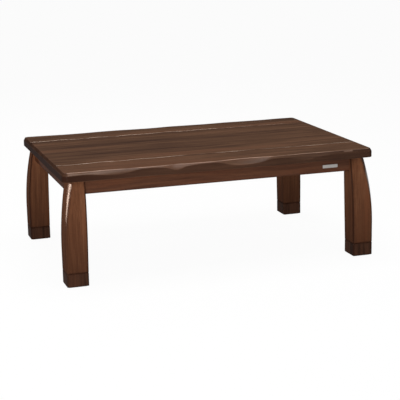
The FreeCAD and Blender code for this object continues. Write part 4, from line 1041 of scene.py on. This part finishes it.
    def bow_tree(self) -> NodeTree:
        """Geometry Nodes tree that bows a leg between its two sections.

        Returns:
            The tree.
        """
        names = ("Bow Start", "Bow Radius", "Bow Inset", "Lean", "Lean Start", "Lean End")
        tree, add, given = shape_tree("leg_bow", dict.fromkeys(names, "Float"))
        radius = given["Bow Radius"]
        level = add("SeparateXYZ", {0: add("GeometryNodeInputPosition")}).outputs["Z"]
        above = add("Math", {0: level, 1: given["Bow Start"]}, operation="SUBTRACT")
        rise = add("Math", {0: above, 1: 0.0}, operation="MAXIMUM")
        squares = [add("Math", {0: length, 1: 2.0}, operation="POWER") for length in (radius, rise)]
        left = add("Math", dict(enumerate(squares)), operation="SUBTRACT")
        root = add("Math", {0: left}, operation="SQRT")
        drawn = add("Math", {0: radius, 1: root}, operation="SUBTRACT")
        share = add("Math", {0: drawn, 1: given["Bow Inset"]}, operation="DIVIDE")
        foot, top, leans = (
            add("GeometryNodeInputNamedAttribute", {"Name": name}, data_type="FLOAT_VECTOR")
            for name in ("foot_section", "top_section", "lean_share")
        )
        tilt = add("MapRange", {"Value": level, "From Min": given["Lean Start"],
                                "From Max": given["Lean End"], "To Max": given["Lean"]})
        leaned = add("VectorMath", {0: leans, "Scale": tilt}, operation="SCALE")
        plan = add("Mix", {0: share, 4: foot, 5: top}, data_type="VECTOR")
        upright = add("CombineXYZ", {"Z": level})
        raised = add("VectorMath", {0: plan, 1: upright})
        moved = add("VectorMath", {0: raised, 1: leaned})
        bowed = add("GeometryNodeSetPosition", {"Geometry": given["Geometry"], "Position": moved})
        end_tree(add, bowed, given["Finish"])
        return tree

    def set_out(self, base: Object, node: str, ending: str, slot: str, body: str = "") -> None:
        """Set a copy of a rear right piece at each corner, with its place in its mesh.

        Args:
            base: Piece drawn outward from the leg's inner corner. It is removed.
            node: Start of the name of the solid that each copy replaces.
            ending: Ending of each copy's name.
            slot: Material slot of the record.
            body: Start of the name of each copy's body, or nothing for the underframe.
        """
        for corner in Corner:
            side_x, side_y, degrees = corner.value
            mesh = base.data.copy()
            shift = Matrix.Translation((side_x * self.leg_x * MM, side_y * self.leg_y * MM, 0))
            mesh.transform(shift @ Matrix.Rotation(math.radians(degrees), 4, "Z"))
            name = node + corner.name
            piece = in_scene(name + ending, mesh)
            outward(piece)
            self.seat(piece, 35, body + corner.name if body else "underframe", slot, name)
        bpy.data.objects.remove(base)

    def build(self, materials: Materials) -> None:
        """Bow the legs, and make the foot blocks that carry on their line.

        Args:
            materials: Finishes "leg" and "foot".
        """
        height = self.top - self.bow_start
        inset = self.side - self.top_side
        radius = (height**2 + inset**2) / (2 * inset)
        sizes = {"Bow Start": self.bow_start, "Bow Radius": radius, "Bow Inset": inset,
                 "Lean": self.lean, "Lean Start": self.lean_levels[0],
                 "Lean End": self.lean_levels[1]}
        leg = self.base(materials["leg"])
        inputs = {name: size * MM for name, size in sizes.items()}
        run_tree(leg, self.bow_tree(), {**inputs, "Finish": materials["leg"]})
        self.set_out(leg, "leg_", "_bowed", "walnut_frame")

        low, high = self.foot_bottom, self.bottom
        levels = [(low + up, inward) for up, inward in self.rim]
        levels += [((low + high) / 2, 0.0), *((high - up, inward) for up, inward in reversed(self.rim))]
        outline = self.section(self.side, self.corner_foot, False)
        rings, shares = [], []
        for level, inward in levels:
            rings.append([(x, y, level) for x, y in self.shrunk(outline, self.side, inward)])
            shares += self.worn(min(level - low, high - level) < self.rim[-1][0])
        block = mesh_object("foot_base", ring_stack(rings), materials["foot"])
        store(block.data, "burnish", shares)
        store(block.data, "polish", self.polish(0.0) * len(levels))
        self.set_out(block, "foot_block_", "_eased", "walnut_foot", "foot_")


# Aprons and name plate


@dataclass
class ApronSet(Assembly):
    """Four aprons between the legs, and the bare plate on the front one."""

    half_lengths: Pair = (515.9, 315.9)
    inner_faces: Pair = (349.0, 549.0)
    thickness: float = 20.0
    bottom: float = 334.0
    top: float = 384.0
    arris: float = 1.5
    edge: float = 6.0
    worn_points: tuple[int, ...] = (2, 3, 4, 5)
    edge_wear: float = 0.4
    step: float = 40.0
    plate_centre: Pair = (435.0, 358.1)
    plate_size: Pair = (61.0, 12.8)
    plate_radius: float = 1.5
    plate_steps: int = 4
    plate_rim: tuple[Pair, ...] = ((0.0, 0.0), (0.55, 0.0), (0.73, 0.1), (0.8, 0.35), (0.8, 1.2))

    def bar(self, half_length: float, inner: float) -> tuple[Shape, list[float]]:
        """Front bar with eased long corners.

        Args:
            half_length: Half its length.
            inner: Distance of its inner face from the middle of the table.

        Returns:
            Its points and faces, and the share of dark worn stain at each point.
        """
        near, far = -inner - self.thickness, -inner
        low, high, ease, edge = self.bottom, self.top, self.arris, self.edge
        outline = [(near, (low + high) / 2)]
        for y, z, back_y, back_z, on_y, on_z in (
                (near, low, 0, 1, 1, 0), (far, low, -1, 0, 0, 1),
                (far, high, 0, -1, -1, 0), (near, high, 1, 0, 0, -1)):
            back, ahead = (y + back_y * ease, z + back_z * ease), (y + on_y * ease, z + on_z * ease)
            outline += [(y + back_y * edge, z + back_z * edge), *eased(back, (y, z), ahead),
                        (y + on_y * edge, z + on_z * edge)]
        worn = [self.edge_wear if n in self.worn_points else 0.0 for n in range(len(outline))]
        steps = max(round(half_length / self.step), 2)
        rings = [[(-half_length + 2 * half_length * n / steps, y, z) for y, z in outline]
                 for n in range(steps + 1)]
        return ring_stack(rings), worn * (steps + 1)

    def build(self, materials: Materials) -> None:
        """Make the aprons and the plate.

        Args:
            materials: Finishes "apron_x", "apron_y" and "plate".
        """
        for n, name in enumerate(("front", "right", "rear", "left")):
            kind = n % 2
            shape, worn = self.bar(self.half_lengths[kind], self.inner_faces[kind])
            piece = mesh_object("apron_" + name + "_eased", shape,
                                materials["apron_y" if kind else "apron_x"])
            store(piece.data, "burnish", worn)
            piece.data.transform(Matrix.Rotation(math.radians(90 * n), 4, "Z"))
            outward(piece)
            self.seat(piece, 35, "underframe", "walnut_frame", "apron_" + name)
        plate = mesh_object("name_plate", self.plate(), materials["plate"])
        outward(plate)
        self.seat(plate, 50, "underframe")

    def plate(self) -> Shape:
        """Bare plate with rounded corners and a softened rim.

        Returns:
            Its points and faces.
        """
        face = -self.inner_faces[0] - self.thickness
        radius, steps = self.plate_radius, self.plate_steps
        reach_x, reach_z = (size / 2 - radius for size in self.plate_size)
        rings = []
        for out, inward in self.plate_rim:
            ring = []
            for n, (sign_x, sign_z) in enumerate(((1, 1), (-1, 1), (-1, -1), (1, -1))):
                for k in range(steps + 1):
                    turn = math.radians(90 * (n + k / steps))
                    x = sign_x * reach_x + (radius - inward) * math.cos(turn)
                    z = sign_z * reach_z + (radius - inward) * math.sin(turn)
                    ring.append((self.plate_centre[0] + x, face - out, self.plate_centre[1] + z))
            rings.append(ring)
        return ring_stack(rings)


# Small parts


@dataclass(frozen=True)
class Island:
    """One solid of a node about its long axis, which points toward its narrower end.

    The shank is the radius of the narrower end, and the bore is the least radius.
    """

    middle: Vector
    axis: Vector
    start: Vector
    length: float
    radius: float
    shank: float
    bore: float


def islands(name: str) -> list[Island]:
    """Find and measure the separate solids of a node.

    Args:
        name: Node of the frame.

    Returns:
        Its solids, in millimetres.
    """
    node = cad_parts[name]
    cleaned = bmesh.new()
    cleaned.from_mesh(node.data)
    cleaned.transform(node.matrix_world)
    bmesh.ops.remove_doubles(cleaned, verts=cleaned.verts, dist=MERGE)
    # A dict keeps the points in order, so that every run measures the same.
    left = dict.fromkeys(cleaned.verts)
    found = []
    while left:
        group, front = [], [left.popitem()[0]]
        while front:
            vertex = front.pop()
            group.append(vertex.co / MM)
            for edge in vertex.link_edges:
                other = edge.other_vert(vertex)
                if other in left:
                    del left[other]
                    front.append(other)
        found.append(measure(group))
    cleaned.free()
    return found


def measure(points: Sequence[Vector]) -> Island:
    """Measure a solid about its long axis.

    Args:
        points: Its points, in millimetres.

    Returns:
        The measured solid.
    """
    cloud = np.array([tuple(point) for point in points])
    middle = (cloud.min(axis=0) + cloud.max(axis=0)) / 2
    _, _, rows = np.linalg.svd(cloud - cloud.mean(axis=0), full_matrices=False)
    axis = rows[0]
    along = (cloud - middle) @ axis
    about = np.linalg.norm((cloud - middle) - np.outer(along, axis), axis=1)
    near = about[along < along.min() + NEAR].max()
    far = about[along > along.max() - NEAR].max()
    if far > near:
        axis, along = -axis, -along
    centre, direction = Vector(middle), Vector(axis)
    return Island(centre, direction, centre + direction * float(along.min()),
                  float(along.max() - along.min()), float(about.max()), float(min(near, far)),
                  float(about.min()))


@dataclass
class FastenerSet(Assembly):
    """Screws or bolts of one node, made once and set at the places of its solids."""

    node: str
    pitch: float
    head_height: float = 0.0
    body: str = "underframe"
    sides: int = 12
    thread_share: float = 0.22
    thread_steps: int = 4
    head_profile: tuple[Pair, ...] = ((0.0, 0.7), (0.12, 0.86), (0.5, 0.98), (0.8, 1.0), (1.0, 0.96))
    end_ease: Pair = (0.8, 0.75)
    tip_length: float = 1.2
    tip_shares: Pair = (0.8, 0.25)
    recess_reach: float = 0.52
    recess_width: float = 0.15
    recess_depth: float = 0.6
    recess_taper: float = 0.55

    def shape(self, solid: Island) -> Shape:
        """Fastener along Z, from its head or its near end, with its thread.

        Args:
            solid: Solid that it stands for.

        Returns:
            Its points and faces.
        """
        wide, thin, length, head = solid.radius, solid.shank, solid.length, self.head_height
        ease, share = self.end_ease
        profile = [(0.0, -thin * share), (ease, -thin)]
        if head:
            profile = [(head * up, -wide * share) for up, share in self.head_profile]
            profile.append((head, -thin))
        step = self.pitch / self.thread_steps
        start, tip = head + self.pitch, length - thin * self.tip_length
        profile += [(start + n * step, thin) for n in range(int((tip - start) / step))]
        profile += [(at, -thin * share) for at, share in zip((tip, length), self.tip_shares)]
        rings = []
        for level, radius in profile:
            ring = []
            for n in range(self.sides):
                turn = 2 * math.pi * n / self.sides
                phase = (level / self.pitch - n / self.sides) % 1.0
                # A radius below zero has no thread.
                cut = thin * self.thread_share * abs(2 * phase - 1) if radius > 0 else 0.0
                reach = abs(radius) - cut
                ring.append((reach * math.cos(turn), reach * math.sin(turn), level))
            rings.append(ring)
        return ring_stack(rings)

    def recess(self, solid: Island) -> list[Shape]:
        """Blocks of waste for the cross recess in a head.

        Args:
            solid: Solid that the fastener stands for.

        Returns:
            Points and faces of each block.
        """
        reach, width = solid.radius * self.recess_reach, solid.radius * self.recess_width
        mouth, floor = (-1.0, 1.0), (self.head_height * self.recess_depth, self.recess_taper)
        return [
            ring_stack([
                [(x * across * grow, y * along * grow, level)
                 for x, y in ((-1, -1), (1, -1), (1, 1), (-1, 1))]
                for level, grow in (mouth, floor)
            ])
            for across, along in ((reach, width), (width, reach))
        ]

    def tree(self) -> NodeTree:
        """Geometry Nodes tree that sets one fastener at each point, along its direction.

        Returns:
            The tree.
        """
        tree, add, given = shape_tree(self.node + "_set", {"Fastener": "Object"})
        facing = add("GeometryNodeInputNamedAttribute", {"Name": "facing"}, data_type="FLOAT_VECTOR")
        turn = add("FunctionNodeAlignRotationToVector", {"Vector": facing})
        single = add("GeometryNodeObjectInfo", {"Object": given["Fastener"]}).outputs["Geometry"]
        placed = add("GeometryNodeInstanceOnPoints",
                     {"Points": given["Geometry"], "Instance": single, "Rotation": turn})
        end_tree(add, placed, given["Finish"])
        return tree

    def build(self, materials: Materials) -> None:
        """Make the set and let it stand for its node.

        Args:
            materials: Finish of the fasteners under "zinc".
        """
        zinc, solids = materials["zinc"], islands(self.node)
        single = mesh_object(self.node + "_single", self.shape(solids[0]), zinc)
        outward(single)
        shade(single.data, 40)
        if self.head_height:
            cut_out(single, self.recess(solids[0]))
        spots = [tuple(solid.start) for solid in solids]
        piece = mesh_object(self.node + "_threaded", (spots, []), zinc)
        store(piece.data, "facing", [tuple(solid.axis) for solid in solids])
        run_tree(piece, self.tree(), {"Fastener": single, "Finish": zinc})
        bpy.data.objects.remove(single)
        self.seat(piece, 40, self.body, "zinc_steel", self.node)


@dataclass
class HeaterElements(Assembly):
    """Quartz tubes and the wound wires inside them."""

    wire_radius: float = 0.45
    turn_pitch: float = 2.6
    end_margin: float = 3.0
    tube_sides: int = 40
    end_round: float = 0.35

    def coil_tree(self) -> NodeTree:
        """Geometry Nodes tree that winds one wire along X at each point.

        Returns:
            The tree.
        """
        names = ("Turns", "Winding Radius", "Length", "Wire Radius")
        tree, add, given = shape_tree("wound_coils", dict.fromkeys(names, "Float"))
        radius = given["Winding Radius"]
        helix = add("GeometryNodeCurveSpiral", {
            "Resolution": 14, "Rotations": given["Turns"], "Start Radius": radius,
            "End Radius": radius, "Height": given["Length"]})
        section = add("GeometryNodeCurvePrimitiveCircle",
                      {"Resolution": 6, "Radius": given["Wire Radius"]})
        wire = add("GeometryNodeCurveToMesh",
                   {"Curve": helix, "Profile Curve": section, "Fill Caps": True})
        half = add("Math", {0: given["Length"], 1: -0.5}, operation="MULTIPLY")
        shift = add("CombineXYZ", {"X": half})
        laid = add("GeometryNodeTransform", {
            "Geometry": wire, "Translation": shift, "Rotation": (0.0, math.pi / 2, 0.0)})
        placed = add("GeometryNodeInstanceOnPoints", {"Points": given["Geometry"], "Instance": laid})
        end_tree(add, placed, given["Finish"])
        return tree

    def tubes(self) -> Shape:
        """Tubes with smooth walls and fire-rounded ends.

        Returns:
            Their points and faces.
        """
        points: list[Point] = []
        faces: list[tuple[int, ...]] = []
        for solid in islands("heater_tubes"):
            inner, outer, half = solid.bore, solid.radius, solid.length / 2
            ease = (outer - inner) * self.end_round
            near = [(inner, ease - half), (inner + ease, -half), (outer - ease, -half),
                    (outer, ease - half)]
            outline = near + [(reach, -along) for reach, along in reversed(near)]
            across = solid.axis.orthogonal().normalized()
            up = solid.axis.cross(across)
            base, count = len(points), len(outline)
            for n in range(self.tube_sides):
                turn = 2 * math.pi * n / self.tube_sides
                here, after = base + n * count, base + (n + 1) % self.tube_sides * count
                for k, (reach, along) in enumerate(outline):
                    place = solid.middle + across * (reach * math.cos(turn))
                    place += up * (reach * math.sin(turn)) + solid.axis * along
                    points.append((place.x, place.y, place.z))
                    over = (k + 1) % count
                    faces.append((here + k, after + k, after + over, here + over))
        return points, faces

    def build(self, materials: Materials) -> None:
        """Draw the tubes, and wind a wire along each bar of the coil node.

        Args:
            materials: Finishes "quartz" and "wire".
        """
        glass = mesh_object("heater_tubes_drawn", self.tubes(), materials["quartz"])
        outward(glass)
        self.seat(glass, 50, "underframe", "quartz_glass", "heater_tubes")
        solids = islands("heating_coils")
        length = solids[0].length - 2 * self.end_margin
        spots = [tuple(solid.middle) for solid in solids]
        coils = mesh_object("heating_coils_wound", (spots, []), materials["wire"])
        run_tree(coils, self.coil_tree(), {
            "Turns": length / self.turn_pitch,
            "Winding Radius": (solids[0].radius - self.wire_radius) * MM,
            "Length": length * MM,
            "Wire Radius": self.wire_radius * MM,
            "Finish": materials["wire"],
        })
        outward(coils)
        self.seat(coils, 60, "underframe", "heating_wire", "heating_coils")


@dataclass
class SoftCopy(Assembly):
    """Copy of a small solid, merged, with its sharp edges eased."""

    node: str
    slot: str
    finish: str
    ease: float
    steps: int = 2
    body: str = "underframe"
    flat_degrees: float = 0.4
    sharp_degrees: float = 38.0

    def build(self, materials: Materials) -> None:
        """Make the copy and let it stand for its node.

        Args:
            materials: Finish of the piece under its own name.
        """
        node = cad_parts[self.node]
        mesh = node.data.copy()
        mesh.transform(node.matrix_world)
        cleaned = bmesh.new()
        cleaned.from_mesh(mesh)
        bmesh.ops.remove_doubles(cleaned, verts=cleaned.verts, dist=MERGE)
        bmesh.ops.dissolve_limit(cleaned, angle_limit=math.radians(self.flat_degrees),
                                 verts=cleaned.verts, edges=cleaned.edges)
        cleaned.to_mesh(mesh)
        cleaned.free()
        mesh.materials.clear()
        mesh.materials.append(materials[self.finish])
        solid = in_scene(self.node + "_softened", mesh)
        bevel = solid.modifiers.new("ease", "BEVEL")
        bevel.width = self.ease * MM
        bevel.segments = self.steps
        bevel.limit_method = "ANGLE"
        bevel.angle_limit = math.radians(self.sharp_degrees)
        settle(solid)
        self.seat(solid, 40, self.body, self.slot, self.node)


@dataclass
class InnerParts:
    """Solids whose shape is right, which only take their finish here."""

    finishes: dict[str, tuple[str, ...]]

    def dress(self, materials: Materials) -> None:
        """Give every solid that still shows its finish.

        Args:
            materials: Finishes of the solids.
        """
        for finish, names in self.finishes.items():
            for name in names:
                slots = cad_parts[name].data.materials
                slots.clear()
                slots.append(materials[finish])


# Studio


@dataclass(frozen=True)
class Softbox:
    """Lamp: place and aim in millimetres, width and height in metres, and power in watts."""

    name: str
    place: Point
    aim: Point
    size: Pair
    power: float
    colour: str = "#ffffff"

    def hang(self) -> None:
        """Put the lamp in the scene, out of the camera's sight."""
        data = bpy.data.lights.new(self.name, "AREA")
        data.shape = "RECTANGLE"
        data.size, data.size_y = self.size
        data.energy = self.power
        data.color = linear(self.colour)[:3]
        lamp = in_scene(self.name, data)
        turn = (Vector(self.place) - Vector(self.aim)).to_track_quat("Z", "Y").to_matrix().to_4x4()
        lamp.matrix_world = Matrix.Translation(Vector(self.place) * MM) @ turn
        lamp.visible_camera = False


@dataclass
class Studio:
    """Pale floor, soft light and the camera."""

    camera_place: Point = (-1411.4, -4518.4, 1294.4)
    azimuth: float = -17.720
    elevation: float = 13.191
    roll: float = -1.142
    lens: float = 109.37
    sensor: float = 36.0
    far_view: float = 200.0
    floor_half: float = 30000.0
    floor_level: float = -0.5
    floor_white: float = 0.955
    world_white: float = 0.965
    world_levels: Pair = (0.05, 0.8)
    world_light: Pair = (0.08, 0.25)
    lamps: tuple[Softbox, ...] = (
        Softbox("overhead_softbox", (0, -200, 2600), (0, 0, 400), (2.6, 1.8), 38.0),
        Softbox("overhead_spot", (170, 230, 2520), (-300, -200, 420), (0.5, 0.5), 5.0),
        Softbox("front_softbox", (275, -2010, 2150), (-200, -380, 400), (1.2, 0.8), 9.0),
        Softbox("key_softbox", (-1500, -2900, 1700), (-400, 0, 250), (1.2, 1.2), 12.0),
        Softbox("low_fill", (-1700, -3900, 330), (0, 0, 180), (2.0, 0.6), 97.0),
        Softbox("back_fill", (-400, 3000, 2700), (0, 200, 300), (1.6, 1.0), 34.0),
        Softbox("left_strip", (-3430, -945, 870), (-576, -376, 300), (0.17, 1.26), 16.5, "#ffe3d0"),
    )

    def build_camera(self) -> None:
        """Set the camera at the photograph's place."""
        turn, rise, tilt = (math.radians(a) for a in (self.azimuth, self.elevation, self.roll))
        level = math.cos(rise)
        back = Vector((math.sin(turn) * level, -math.cos(turn) * level, math.sin(rise)))
        right = (-back).cross(Vector((0, 0, 1))).normalized()
        up = right.cross(-back)
        side = right * math.cos(tilt) + up * math.sin(tilt)
        head = up * math.cos(tilt) - right * math.sin(tilt)
        data = bpy.data.cameras.new("camera")
        data.lens, data.sensor_width, data.clip_end = self.lens, self.sensor, self.far_view
        camera = in_scene("camera", data)
        rotation = Matrix((side, head, back)).transposed().to_4x4()
        camera.matrix_world = Matrix.Translation(Vector(self.camera_place) * MM) @ rotation
        bpy.context.scene.camera = camera

    def build_floor(self) -> None:
        """Lay a wide white floor that keeps the table's shadow."""
        material = bare_material("studio_floor_white_vinyl")
        add = partial(add_node, material.node_tree)
        ray = add("LightPath").outputs
        seen = add("Math", {0: ray["Is Camera Ray"], 1: ray["Is Glossy Ray"]})
        shown = add("Math", {0: seen, 1: ray["Is Transmission Ray"]}, use_clamp=True)
        share = add("Math", {0: shown, 1: self.floor_white}, operation="MULTIPLY")
        tone = add("Mix", {0: shown, 6: linear("#b4b4b4"), 7: (1, 1, 1, 1)}, data_type="RGBA")
        lit = add("BsdfDiffuse", {"Color": tone})
        white = add("Emission", {"Color": (1, 1, 1, 1), "Strength": 1.0})
        mixed = add("MixShader", {0: share, 1: lit, 2: white})
        add("OutputMaterial", {"Surface": mixed})
        half, level = self.floor_half, self.floor_level
        corners = [(-half, -half, level), (half, -half, level), (half, half, level), (-half, half, level)]
        mesh_object("studio_floor", (corners, [(0, 1, 2, 3)]), material)

    def build_world(self) -> None:
        """Fill the studio with soft light that fades toward the horizon."""
        world = bpy.data.worlds.new("studio")
        bpy.context.scene.world = world
        world.use_nodes = True
        world.node_tree.nodes.clear()
        add = partial(add_node, world.node_tree)
        ray = add("LightPath").outputs
        direction = add("TexCoord").outputs["Generated"]
        level = add("SeparateXYZ", {0: direction}).outputs["Z"]
        names = ("From Min", "From Max", "To Min", "To Max")
        limits = dict(zip(names, self.world_levels + self.world_light))
        soft = add("MapRange", {"Value": level, **limits}, interpolation_type=SMOOTH)
        seen = add("Math", {0: ray["Is Camera Ray"], 1: ray["Is Transmission Ray"]}, use_clamp=True)
        strength = add("Mix", {0: seen, 2: soft, 3: self.world_white}, data_type="FLOAT")
        light = add("Background", {"Color": (1, 1, 1, 1), "Strength": strength})
        add("OutputWorld", {"Surface": light})

    def build(self) -> None:
        """Set up the floor, the light and the camera."""
        bpy.context.scene.view_settings.view_transform = "Standard"
        self.build_camera()
        self.build_floor()
        self.build_world()
        for lamp in self.lamps:
            lamp.hang()


def build_materials() -> Materials:
    """Make every finish once.

    Returns:
        Materials by the name that the pieces ask for.
    """
    names = ("dark", "middle", "light", "blush")
    board, frame_wood, apron_wood, foot_wood, rail_wood, pale = (
        dict(zip(names, colours.split())) for colours in (
            "#392923 #543d2f #6e513f #5c3e2f", "#523322 #6a442f #7f563c #76462e",
            "#392319 #533527 #63412e #5c3422", "#22150e #3f281d #4c3123 #44281c",
            "#4f3424 #6d4b34 #84603f #754a30", "#a98a5e #cbb083 #ddc79c #cfa87a")
    )
    along_x, along_y, along_z = Grain
    board |= {"specular": 0.0, "coat_roughness": 0.2}
    upright = {"grain": along_z, "band_mm": 40, "specular": 0.0}
    apron_wood |= {"band_mm": 40, "specular": 0.0}
    rail_wood |= {"band_mm": 30, "coat": 0.0, "roughness": 0.6}
    pale |= {"coat": 0.0, "roughness": 0.62, "burnish": "#8a6c45"}
    finishes = {
        # Dark walnut boards: long brown and near-black figure under a thin satin lacquer.
        "board_front_plank": Timber("walnut_plank_satin", along_x, seed=1.3, **board),
        "board_centre_panel": Timber("walnut_panel_satin", along_x, seed=4.7, **board),
        "board_rear_plank": Timber("walnut_rear_plank_satin", along_x, seed=8.1, **board),
        # Groove arris: a pale, broken painted highlight line, fading toward the right end.
        "groove": Timber("rubbed_groove_line", along_x, seed=3.3, rub_from="line",
                         rubbed="#f0d8c4", **board),
        # Legs: upright grain, browner at the top, darker toward the foot with painted shade that also
        # stands for a shaded stain, and darker at the arrises with worn stain.
        "leg": Timber("stained_leg_satin", line_mm=6, seed=2.2, shaded_levels_mm=(60.0, 380.0),
                      shade_share=0.62, coat=0.02, **upright, **frame_wood),
        # Extension feet: the darkest stain, so that the joint with the leg reads.
        "foot": Timber("stained_foot_satin", seed=6.5, **upright, **foot_wood),
        # Aprons: level grain, a shade darker than the legs.
        "apron_x": Timber("stained_apron_satin", along_x, seed=3.1, **apron_wood),
        "apron_y": Timber("stained_side_apron_satin", along_y, seed=5.9, **apron_wood),
        # Rails out of sight: planed and thinly stained, matt, with open pores.
        "rail_x": Timber("stained_rail_planed", along_x, seed=7.7, **rail_wood),
        "rail_y": Timber("stained_cross_rail_planed", along_y, seed=9.2, **rail_wood),
        # Bare beech tongues, dowels and pegs: pale, matt and finely flecked.
        "beech_x": Timber("bare_beech_tongue", along_x, band_mm=30, seed=1.9, **pale),
        "beech_z": Timber("bare_beech_turned", along_z, band_mm=20, seed=2.9, **pale),
        # Bare plate: fine level brushing that spreads the reflection of the lamps.
        "plate": Plain("brushed_nickel_plate", "#a8a4a0", 0.25, 0.01, 0.34, 1.0,
                       stretch=(0.04, 1.0, 1.0)),
        # Zinc plating: a soft, slightly cloudy metal sheen on brackets and screws.
        "zinc": Plain("zinc_plated_steel", "#c6c8c6", 1.2, 0.01, 0.36, 1.0),
        # Stove paint on the channels: near black with a faint orange-peel.
        "channel": Plain("black_stoved_steel", "#242424", 0.8, 0.02, 0.5),
        # Felt: matt brown fibres with a little fuzz at the rim.
        "felt": Plain("dense_brown_felt", "#43342b", 0.6, 0.25, 0.95, sheen=0.1, variation=0.3),
        # Rubber: dead matt black with a dusty mottle.
        "rubber": Plain("black_rubber", "#1d1d1d", 0.5, 0.03, 0.75),
        # Nylon: milky, with a smooth moulded skin.
        "nylon": Plain("natural_nylon", "#dcd7c5", 0.8, 0.01, 0.45, ior=1.53),
        # Housing paint: dark grey, fine texture, dull highlights.
        "housing": Plain("stoved_housing_steel", "#2b2b2b", 0.9, 0.03, 0.5),
        # Mica: tan flakes that vary from patch to patch.
        "mica": Plain("pressed_mica_sheet", "#b3a486", 3.0, 0.05, 0.55, variation=0.3),
        # Reflector: mirror-like, drawn along the troughs.
        "reflector": Plain("bright_anodised_aluminium", "#dcdcdc", 0.4, 0.004, 0.18, 1.0,
                           stretch=(0.05, 1.0, 1.0)),
        # Quartz: clear, with a bright edge and a faint draw line.
        "quartz": Plain("clear_quartz_glass", "#f2f2ee", 3.0, 0.002, 0.06, ior=1.46,
                        transmission=1.0, variation=0.02),
        # Heating wire: brown-grey oxide over metal.
        "wire": Plain("oxidised_resistance_wire", "#5b524c", 0.4, 0.01, 0.5, 1.0),
        # Ceramic: chalky off-white with a grainy bite.
        "ceramic": Plain("bisque_fired_ceramic", "#ebe7db", 0.5, 0.02, 0.7, variation=0.06),
        # Motor shell: grey lacquer that half hides the steel.
        "motor": Plain("lacquered_motor_steel", "#73767a", 0.8, 0.01, 0.4, 0.6),
        # Shaft: bright, with fine grinding marks round it.
        "shaft": Plain("ground_steel_shaft", "#b4b4b4", 0.2, 0.004, 0.25, 1.0),
        # Fan wheel: dark moulding with a soft sheen.
        "fan": Plain("moulded_fan_nylon", "#333436", 0.7, 0.02, 0.55),
        # Thermostat cap: pressed metal, duller than the reflector.
        "cap": Plain("pressed_aluminium_cap", "#c2c2c0", 0.6, 0.01, 0.35, 1.0),
        # Phenolic: deep black with a slight gloss.
        "black": Plain("moulded_phenolic", "#161616", 0.6, 0.02, 0.48),
        # Brass: warm yellow metal with fine scratches.
        "brass": Plain("bare_brass_pin", "#cba452", 0.3, 0.004, 0.28, 1.0),
        # Flocked guard: velvety near-black that swallows highlights.
        "guard": Plain("flocked_guard_moulding", "#1f1c1b", 0.5, 0.15, 0.9, sheen=0.3),
    }
    return {name: finish.build() for name, finish in finishes.items()}


def small_parts() -> list[Assembly]:
    """List the fasteners and the softened copies of small solids.

    Returns:
        The sets and copies, in the order in which they are made.
    """
    return [
        FastenerSet("warp_channel_screws", 1.8, 2.5, "tabletop"),
        FastenerSet("bracket_screws", 1.6, 2.4),
        FastenerSet("heater_flange_screws", 1.6, 2.4),
        FastenerSet("guard_screws", 1.0, 1.6),
        FastenerSet("leg_bolts", 1.6),
        SoftCopy("warp_channel_left", "channel_steel", "channel", 0.35, body="tabletop"),
        SoftCopy("warp_channel_right", "channel_steel", "channel", 0.35, body="tabletop"),
        SoftCopy("corner_brackets", "zinc_steel", "zinc", 0.3),
        SoftCopy("leg_bolt_washers", "zinc_steel", "zinc", 0.25),
        SoftCopy("leg_bolt_nuts", "zinc_steel", "zinc", 0.5),
        SoftCopy("board_pads", "pad_rubber", "rubber", 0.5, 3),
        *(SoftCopy("foot_glide_" + corner.name, "felt", "felt", 0.6, 3, "foot_" + corner.name)
          for corner in Corner),
        SoftCopy("leg_bushes", "nylon", "nylon", 0.2),
        SoftCopy("heater_housing", "housing_steel", "housing", 0.2),
        SoftCopy("heater_reflector", "reflector_aluminium", "reflector", 0.15),
        SoftCopy("tube_holders", "white_ceramic", "ceramic", 0.5),
        SoftCopy("thermal_fuse", "white_ceramic", "ceramic", 0.4),
        SoftCopy("motor_strap", "zinc_steel", "zinc", 0.25),
        SoftCopy("fan_motor", "motor_steel", "motor", 0.5),
        SoftCopy("fan_shaft", "shaft_steel", "shaft", 0.2, body="heater_fan"),
        SoftCopy("fan_wheel", "fan_plastic", "fan", 0.3, body="heater_fan"),
        SoftCopy("thermostat", "thermostat_metal", "cap", 0.3),
        SoftCopy("terminal_block", "black_plastic", "black", 0.5),
        SoftCopy("cord_inlet", "black_plastic", "black", 0.5),
        SoftCopy("inlet_pins", "pin_brass", "brass", 0.2),
        SoftCopy("guard_grille", "guard_plastic", "guard", 0.5),
    ]


INNER_FINISHES = {
    "beech_x": ("board_front_tongue", "board_rear_tongue", "rail_dowels"),
    "beech_z": tuple("foot_peg_" + corner.name for corner in Corner),
    "rail_y": ("support_rail_left", "support_rail_right", "heater_rail_left", "heater_rail_right"),
    "rail_x": ("heater_rail_front", "heater_rail_rear"),
    "mica": ("heater_insulation",),
}


def main() -> None:
    """Build the table and the studio, and report each piece."""
    logging.basicConfig(level=logging.INFO, format="%(name)s %(message)s")
    Studio().build()
    materials = build_materials()
    for assembly in (CarvedBoard(), LegSet(), ApronSet(), HeaterElements(), *small_parts()):
        assembly.build(materials)
        for piece in assembly.pieces:
            LOG.info("%s: %d faces", piece.name, len(piece.data.polygons))
    InnerParts(INNER_FINISHES).dress(materials)


if __name__ == "__main__":
    main()
